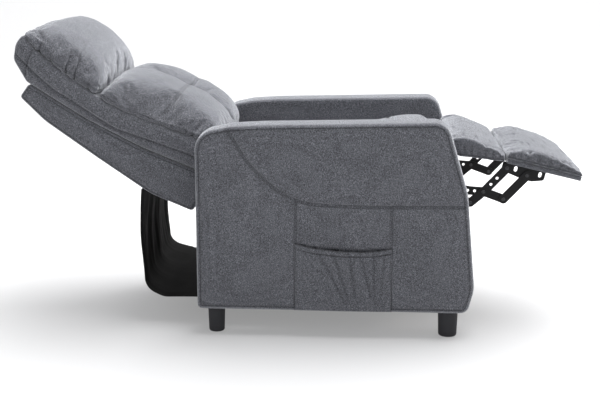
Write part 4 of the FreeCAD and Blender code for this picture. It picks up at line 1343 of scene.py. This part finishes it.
def soft_pad(name, profile, base, slope, sides, power, slack, limit, voxel=0.006, half_width=None):
    """A boxed pad whose sides keep a share of its height, filled by the cloth solver."""
    width = half_width or CUSHION - 2

    def height(share, s):
        return sides + (1 - sides) * superellipse(share, power)

    def spread(share):
        return 0.985 + 0.015 * superellipse(share, 4)

    pad = lofted(name, profile, base, width, 56, height, spread, slope)
    remeshed(pad, voxel)
    s, n = slope_coordinates(slope, coordinates(pad))
    swell(pad, sewn_edge(n, base[0][1], 5), slack, limit)
    return subdivided(pad)


class RECLINER_OT_seat(bpy.types.Operator):
    """Make the seat cushion with its full front roll and cross seam"""

    bl_idname = "recliner.seat"
    bl_label = "Seat cushion"

    def execute(self, context):
        seat = soft_pad("seat_pad", SEAT_PROFILE, SEAT_BASE, DECK, 0.62, 2.2, 0.03, 0.012, voxel=0.007)
        co = coordinates(seat)
        s, n = slope_coordinates(DECK, co)
        x = co[:, 0] / MM
        up = np.clip((n - 50) / 30, 0, 1)
        flat = np.column_stack([s, n, x])
        off = s - SEAT_SEAM
        beside_seam = np.abs(off) - CROSS_STITCH_ROW
        depth = -3.2 * bell(off, 2.6) * up - 1.0 * bell(beside_seam, 1.6) * up
        depth += 1.6 * ripple(flat, 70, 31) + 0.8 * ripple(flat * (1, 1, 0.4), 20, 32) * bell(off, 30)
        depth += 1.3 * np.sin(x / 13 + 1.7 * np.sin(x / 37)) * bell(off, 20) * up
        reshape(seat, co + normals(seat) * (depth * MM)[:, None])
        # Painted shade in the cross seam and beside its stitch rows.
        paint_crease_shade(seat, (0.5 * bell(off, 1.6) + 0.6 * bell(beside_seam, 1.4)) * up)
        keep_within(seat, CUSHION)
        finish_faces(seat, [heathered("cover_fabric")])
        keep_threads("seat", cross_stitches(seat, DECK, SEAT_SEAM, 200, 160, 0.12))
        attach(seat, "seat")
        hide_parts("seat_cushion")
        return {"FINISHED"}


def gathered(piece, slope, low, spacing, deep, seed):
    """Gathers along a pad's sides, with painted shade in their valleys and at the sewn base, and soft
    lengthwise streaks of painted shade on its top.
    """
    co = coordinates(piece)
    s, n = slope_coordinates(slope, co)
    x = co[:, 0] / MM
    flat = np.column_stack([s, n, x])
    side = np.clip((np.abs(x) - 190) / 36, 0, 1)
    wave = np.sin(s * 2 * math.pi / spacing + 2.4 * np.sin(s / 33) + seed)
    edge = bell(n - low - 14, 20) * np.clip((n - low - 6) / 8, 0, 1)
    depth = deep * wave * side * edge
    depth += 0.6 * ripple(flat * (1, 1, 0.22), 15, seed) * (1 - 0.5 * side)
    depth += 1.2 * ripple(flat, 48, seed + 1)
    depth -= 1.5 * bell(n - low - 7, 2.2) * side
    # Painted shade: lengthwise streaks on the top, which the shape does not have, and the gathers'
    # valleys along the sides.
    painted_draw_shade = np.clip(ripple(flat * (1, 1, 0.12), 11, seed + 3), 0, 1) ** 2 * (1 - side)
    painted_fold_shade = 0.45 * np.maximum(-wave, 0) * edge + 0.7 * bell(n - low - 6, 2.0)
    paint_crease_shade(piece, side * painted_fold_shade + 0.5 * painted_draw_shade)
    reshape(piece, co + normals(piece) * (depth * MM)[:, None])
    return piece


class RECLINER_OT_leg_pads(bpy.types.Operator):
    """Make the calf pad and the footrest pad, gathered along their sides"""

    bl_idname = "recliner.leg_pads"
    bl_label = "Calf and footrest pads"

    def execute(self, context):
        calf = soft_pad("calf_cushion", CALF_PROFILE, CALF_BASE, CALF, 0.86, 5.0, 0.06, 0.008,
                        voxel=0.005)
        gathered(calf, CALF, 1, 17, 1.9, 41)
        foot = soft_pad("footrest_cushion", PAD_PROFILE, PAD_BASE, BOARD, 0.68, 5.0, 0.05, 0.007,
                        voxel=0.005)
        gathered(foot, BOARD, 12, 24, 1.3, 51)
        for piece, stands_for in ((calf, "calf_pad"), (foot, "footrest_pad")):
            keep_within(piece, CUSHION)
            finish_faces(piece, [heathered("cover_fabric")])
            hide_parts(stands_for)
        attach(calf, "footrest")
        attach(foot, "footrest")
        return {"FINISHED"}


# ---------------------------------------------------------------- dust cloth
CLOTH_CORNERS = (
    (*BACK.point(152, -29), 0), (542, 250, 500), (532, 100, 60), (478, 75.5, 45), (400, 78.5, 300),
    (318, 78.5, 0),
)


CLOTH_LOWEST = 71


def open_path(corners, step):
    """Points along an open path of rounded corners."""
    closed = rounded(corners, step)
    ends = [Vector(corners[0][:2]), Vector(corners[-1][:2])]
    first = min(range(len(closed)), key=lambda i: (closed[i] - ends[0]).length)
    turned = closed[first:] + closed[:first]
    last = min(range(len(turned)), key=lambda i: (turned[i] - ends[1]).length)
    return even(turned[:last + 1], step)


class RECLINER_OT_dust_cloth(bpy.types.Operator):
    """Make the black dust cloth that hangs from the back and runs under the rear rail"""

    bl_idname = "recliner.dust_cloth"
    bl_label = "Dust cloth"

    def execute(self, context):
        path = open_path(CLOTH_CORNERS, 6)
        columns = 84
        points = []
        for i, here in enumerate(path):
            before, after = path[max(i - 1, 0)], path[min(i + 1, len(path) - 1)]
            along = (after - before).normalized()
            out = Vector((along.y, -along.x))
            share = i / (len(path) - 1)
            free = math.sin(math.pi * min(max((share - 0.02) / 0.8, 0), 1)) ** 0.8
            for k in range(columns + 1):
                across = 2 * k / columns - 1
                x = CLOTH_HALF * across * (1 - 0.012 * free * (1 + 0.5 * math.sin(share * 9)))
                hang = 9 * free * (1 - across ** 2)
                fold = noise.noise(Vector((across * 3.1 + share * 0.9, share * 0.8, 1.5)))
                crease = noise.noise(Vector((across * 11 - share, share * 1.6, 7.7)))
                low = min(max((here.y - 60) / 90, 0.25), 1)
                shift = free * low * (9 * fold + 3.5 * crease) - hang * 0.4
                far = ((across + 1) / 2) ** 1.6
                curl = 36 * far * min(max((here.x - 385) / 90, 0), 1)
                curl *= min(max((190 - here.y) / 110, 0), 1)
                spot = here + out * (shift - 13 * far * free)
                points.append(place(x, spot.x, max(spot.y + curl, CLOTH_LOWEST)))
        cloth = to_object("dust_cover", points, grid_faces(len(path) - 1, columns), [nonwoven()])
        thickened(cloth, 0.0012, [nonwoven()])
        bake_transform(cloth)
        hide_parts("dust_cloth")
        return {"FINISHED"}


LINING_FRONT, LINING_REAR, LINING_HALF, LINING_LEVEL = -148, 316, 234, 78.8


class RECLINER_OT_base_lining(bpy.types.Operator):
    """Make the black cambric stretched under the base between its two cross rails"""

    bl_idname = "recliner.base_lining"
    bl_label = "Base lining"

    def execute(self, context):
        rows, columns = 40, 44
        points = []
        for i in range(rows + 1):
            for k in range(columns + 1):
                along, across = i / rows, 2 * k / columns - 1
                slack = math.sin(math.pi * along) * (1 - across ** 2)
                sag = slack * (2.2 + noise.noise(Vector((along * 4, across * 3, 0.5))))
                y = LINING_FRONT + (LINING_REAR - LINING_FRONT) * along
                points.append(place(LINING_HALF * across, y, LINING_LEVEL - max(sag, 0)))
        lining = to_object("base_lining", points, grid_faces(rows, columns), [nonwoven()])
        thickened(lining, 0.001, [nonwoven()])
        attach(lining, "base")
        return {"FINISHED"}


# ---------------------------------------------------------------- footrest underside
class RECLINER_OT_board_wrap(bpy.types.Operator):
    """Make the cover that is wrapped and stapled round the footrest board"""

    bl_idname = "recliner.board_wrap"
    bl_label = "Footrest board cover"

    def execute(self, context):
        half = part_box("footrest_board")[1].x / MM
        length, board = 205, 12

        def face(co, depth):
            return 0.2 * ripple(np.column_stack([co, np.zeros(len(co))]), 20, 61)

        corners = BOARD.corners([
            (-0.4, -0.5, 1.5), (length + 0.6, -0.5, 1.5), (length + 0.6, board + 0.1, 1.5),
            (-0.4, board + 0.1, 1.5)])
        wrap = boxed("board_cover", corners, -half - 0.5, half + 0.5, (face, face), 0.0, edge=1.5,
                     step=9, materials=[heathered("cover_fabric")])
        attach(wrap, "footrest")
        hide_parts("footrest_board")
        return {"FINISHED"}


# ---------------------------------------------------------------- hardware finishes
class RECLINER_OT_hardware(bpy.types.Operator):
    """Give the frames, links, fasteners and feet their finishes"""

    bl_idname = "recliner.hardware"
    bl_label = "Frame and hardware finishes"

    def execute(self, context):
        finishes = {
            "webbing": elastic_webbing(),
            "plywood": wood("birch_plywood", (0.52, 0.37, 0.21), (0.34, 0.22, 0.12), 1),
            "timber": wood("pine_timber", (0.58, 0.40, 0.22), (0.40, 0.24, 0.11), 0),
            "zinc_steel": zinc(),
            "foot_plastic": foot_plastic(),
            "black_steel": powder_coat(),
            "dust_cloth": nonwoven(),
            "upholstery": heathered("cover_fabric"),
        }
        for part in frame["record"]["subparts"]:
            piece = frame["nodes"][part["node"]]
            finish = finishes[part["material_slot"]]
            if "rivets" in piece.name or "pins" in piece.name or "studs" in piece.name:
                finish = rivet_steel() if part["material_slot"] == "black_steel" else finish
            if not piece.data.materials:
                piece.data.materials.append(finish)
            for index in range(len(piece.data.materials)):
                piece.data.materials[index] = finish
        return {"FINISHED"}


class RECLINER_OT_stitches(bpy.types.Operator):
    """Sew the stitch rows along the seams of each body"""

    bl_idname = "recliner.stitches"
    bl_label = "Stitches"

    def execute(self, context):
        for body, paths in THREADS.items():
            stitched("stitches_" + body, paths, body)
        return {"FINISHED"}


# ---------------------------------------------------------------- stage
CAMERA_PLACE = (-3.2778, FEET_Y - 0.1142, 1.0074)
CAMERA_YAW = 3.86
CAMERA_PITCH = 12.22
CAMERA_LENS = 67.6


def area_light(name, spot, aim, width, height, power, colour=(1, 1, 1)):
    lamp = bpy.data.lights.new(name, "AREA")
    lamp.shape = "RECTANGLE"
    lamp.size, lamp.size_y = width, height
    lamp.energy = power
    lamp.color = colour
    made = bpy.data.objects.new(name, lamp)
    made.location = spot
    made.rotation_euler = (Vector(aim) - Vector(spot)).to_track_quat("-Z", "Y").to_euler()
    bpy.context.scene.collection.objects.link(made)
    return made


class RECLINER_OT_stage(bpy.types.Operator):
    """Set up the pale studio floor, the soft lights and the camera"""

    bl_idname = "recliner.stage"
    bl_label = "Studio stage"

    def execute(self, context):
        scene = context.scene
        camera = bpy.data.objects.new("studio_camera", bpy.data.cameras.new("studio_camera"))
        scene.collection.objects.link(camera)
        yaw, pitch = math.radians(CAMERA_YAW), math.radians(CAMERA_PITCH)
        level = math.cos(pitch)
        ahead = Vector((level * math.cos(yaw), level * math.sin(yaw), -math.sin(pitch)))
        camera.location = CAMERA_PLACE
        camera.rotation_mode = "QUATERNION"
        camera.rotation_quaternion = ahead.to_track_quat("-Z", "Y")
        camera.data.lens = CAMERA_LENS
        camera.data.sensor_width = 36
        scene.camera = camera
        scene.view_settings.view_transform = "Standard"

        half, back_run, high, bend = 7.0, 5.0, 6.0, 1.6
        profile = [(-half, 0.0), (back_run - bend, 0.0)]
        profile += [(back_run - bend + bend * math.sin(t), bend - bend * math.cos(t))
                    for t in np.linspace(0, math.pi / 2, 20)[1:]]
        profile.append((back_run, high))
        points = [(x, y, z) for x, z in profile for y in (-half, half)]
        faces = [(2 * i, 2 * i + 2, 2 * i + 3, 2 * i + 1) for i in range(len(profile) - 1)]
        floor = to_object("studio_floor", points, faces,
                          [stage_finish("studio_floor", colours().floor)])

        world = bpy.data.worlds.new("studio_world")
        scene.world = world
        world.use_nodes = True
        world.node_tree.nodes["Background"].inputs["Color"].default_value = (0.97, 0.98, 1, 1)
        world.node_tree.nodes["Background"].inputs["Strength"].default_value = 0.40
        area_light("overhead_softbox", (0.6, -0.9, 3.3), (0.05, 0, 0.4), 3.2, 3.4, 280)
        area_light("rear_softbox", (2.9, -0.8, 2.5), (0, 0, 0.5), 2.2, 2.4, 75)
        area_light("side_fill", (-3.6, 0.6, 1.7), (0, 0, 0.4), 2.4, 1.8, 15)
        return {"FINISHED"}


class RECLINER_PT_panel(bpy.types.Panel):
    """Lists the chair's sizes, colours and makers"""

    bl_label = "Recliner Armchair"
    bl_idname = "RECLINER_PT_panel"
    bl_space_type = "VIEW_3D"
    bl_region_type = "UI"
    bl_category = "Recliner"

    def draw(self, context):
        for group in (context.scene.recliner_sizes, context.scene.recliner_colours):
            for prop in group.bl_rna.properties:
                if prop.identifier not in {"rna_type", "name"}:
                    self.layout.prop(group, prop.identifier)
        for maker in MAKERS:
            self.layout.operator(maker.bl_idname)


MAKERS = (
    RECLINER_OT_stage,
    RECLINER_OT_hardware,
    RECLINER_OT_arms,
    RECLINER_OT_pocket,
    RECLINER_OT_back_case,
    RECLINER_OT_back_border,
    RECLINER_OT_head_pillow,
    RECLINER_OT_lumbar,
    RECLINER_OT_seat,
    RECLINER_OT_leg_pads,
    RECLINER_OT_dust_cloth,
    RECLINER_OT_base_lining,
    RECLINER_OT_board_wrap,
    RECLINER_OT_stitches,
)
CLASSES = (ChairSizes, ChairColours, *MAKERS, RECLINER_PT_panel)


def register():
    for cls in CLASSES:
        bpy.utils.register_class(cls)
    bpy.types.Scene.recliner_sizes = PointerProperty(type=ChairSizes)
    bpy.types.Scene.recliner_colours = PointerProperty(type=ChairColours)


def unregister():
    del bpy.types.Scene.recliner_colours
    del bpy.types.Scene.recliner_sizes
    for cls in reversed(CLASSES):
        bpy.utils.unregister_class(cls)


def main():
    register()
    for maker in MAKERS:
        group, name = maker.bl_idname.split(".")
        getattr(getattr(bpy.ops, group), name)()


if __name__ == "__main__":
    main()
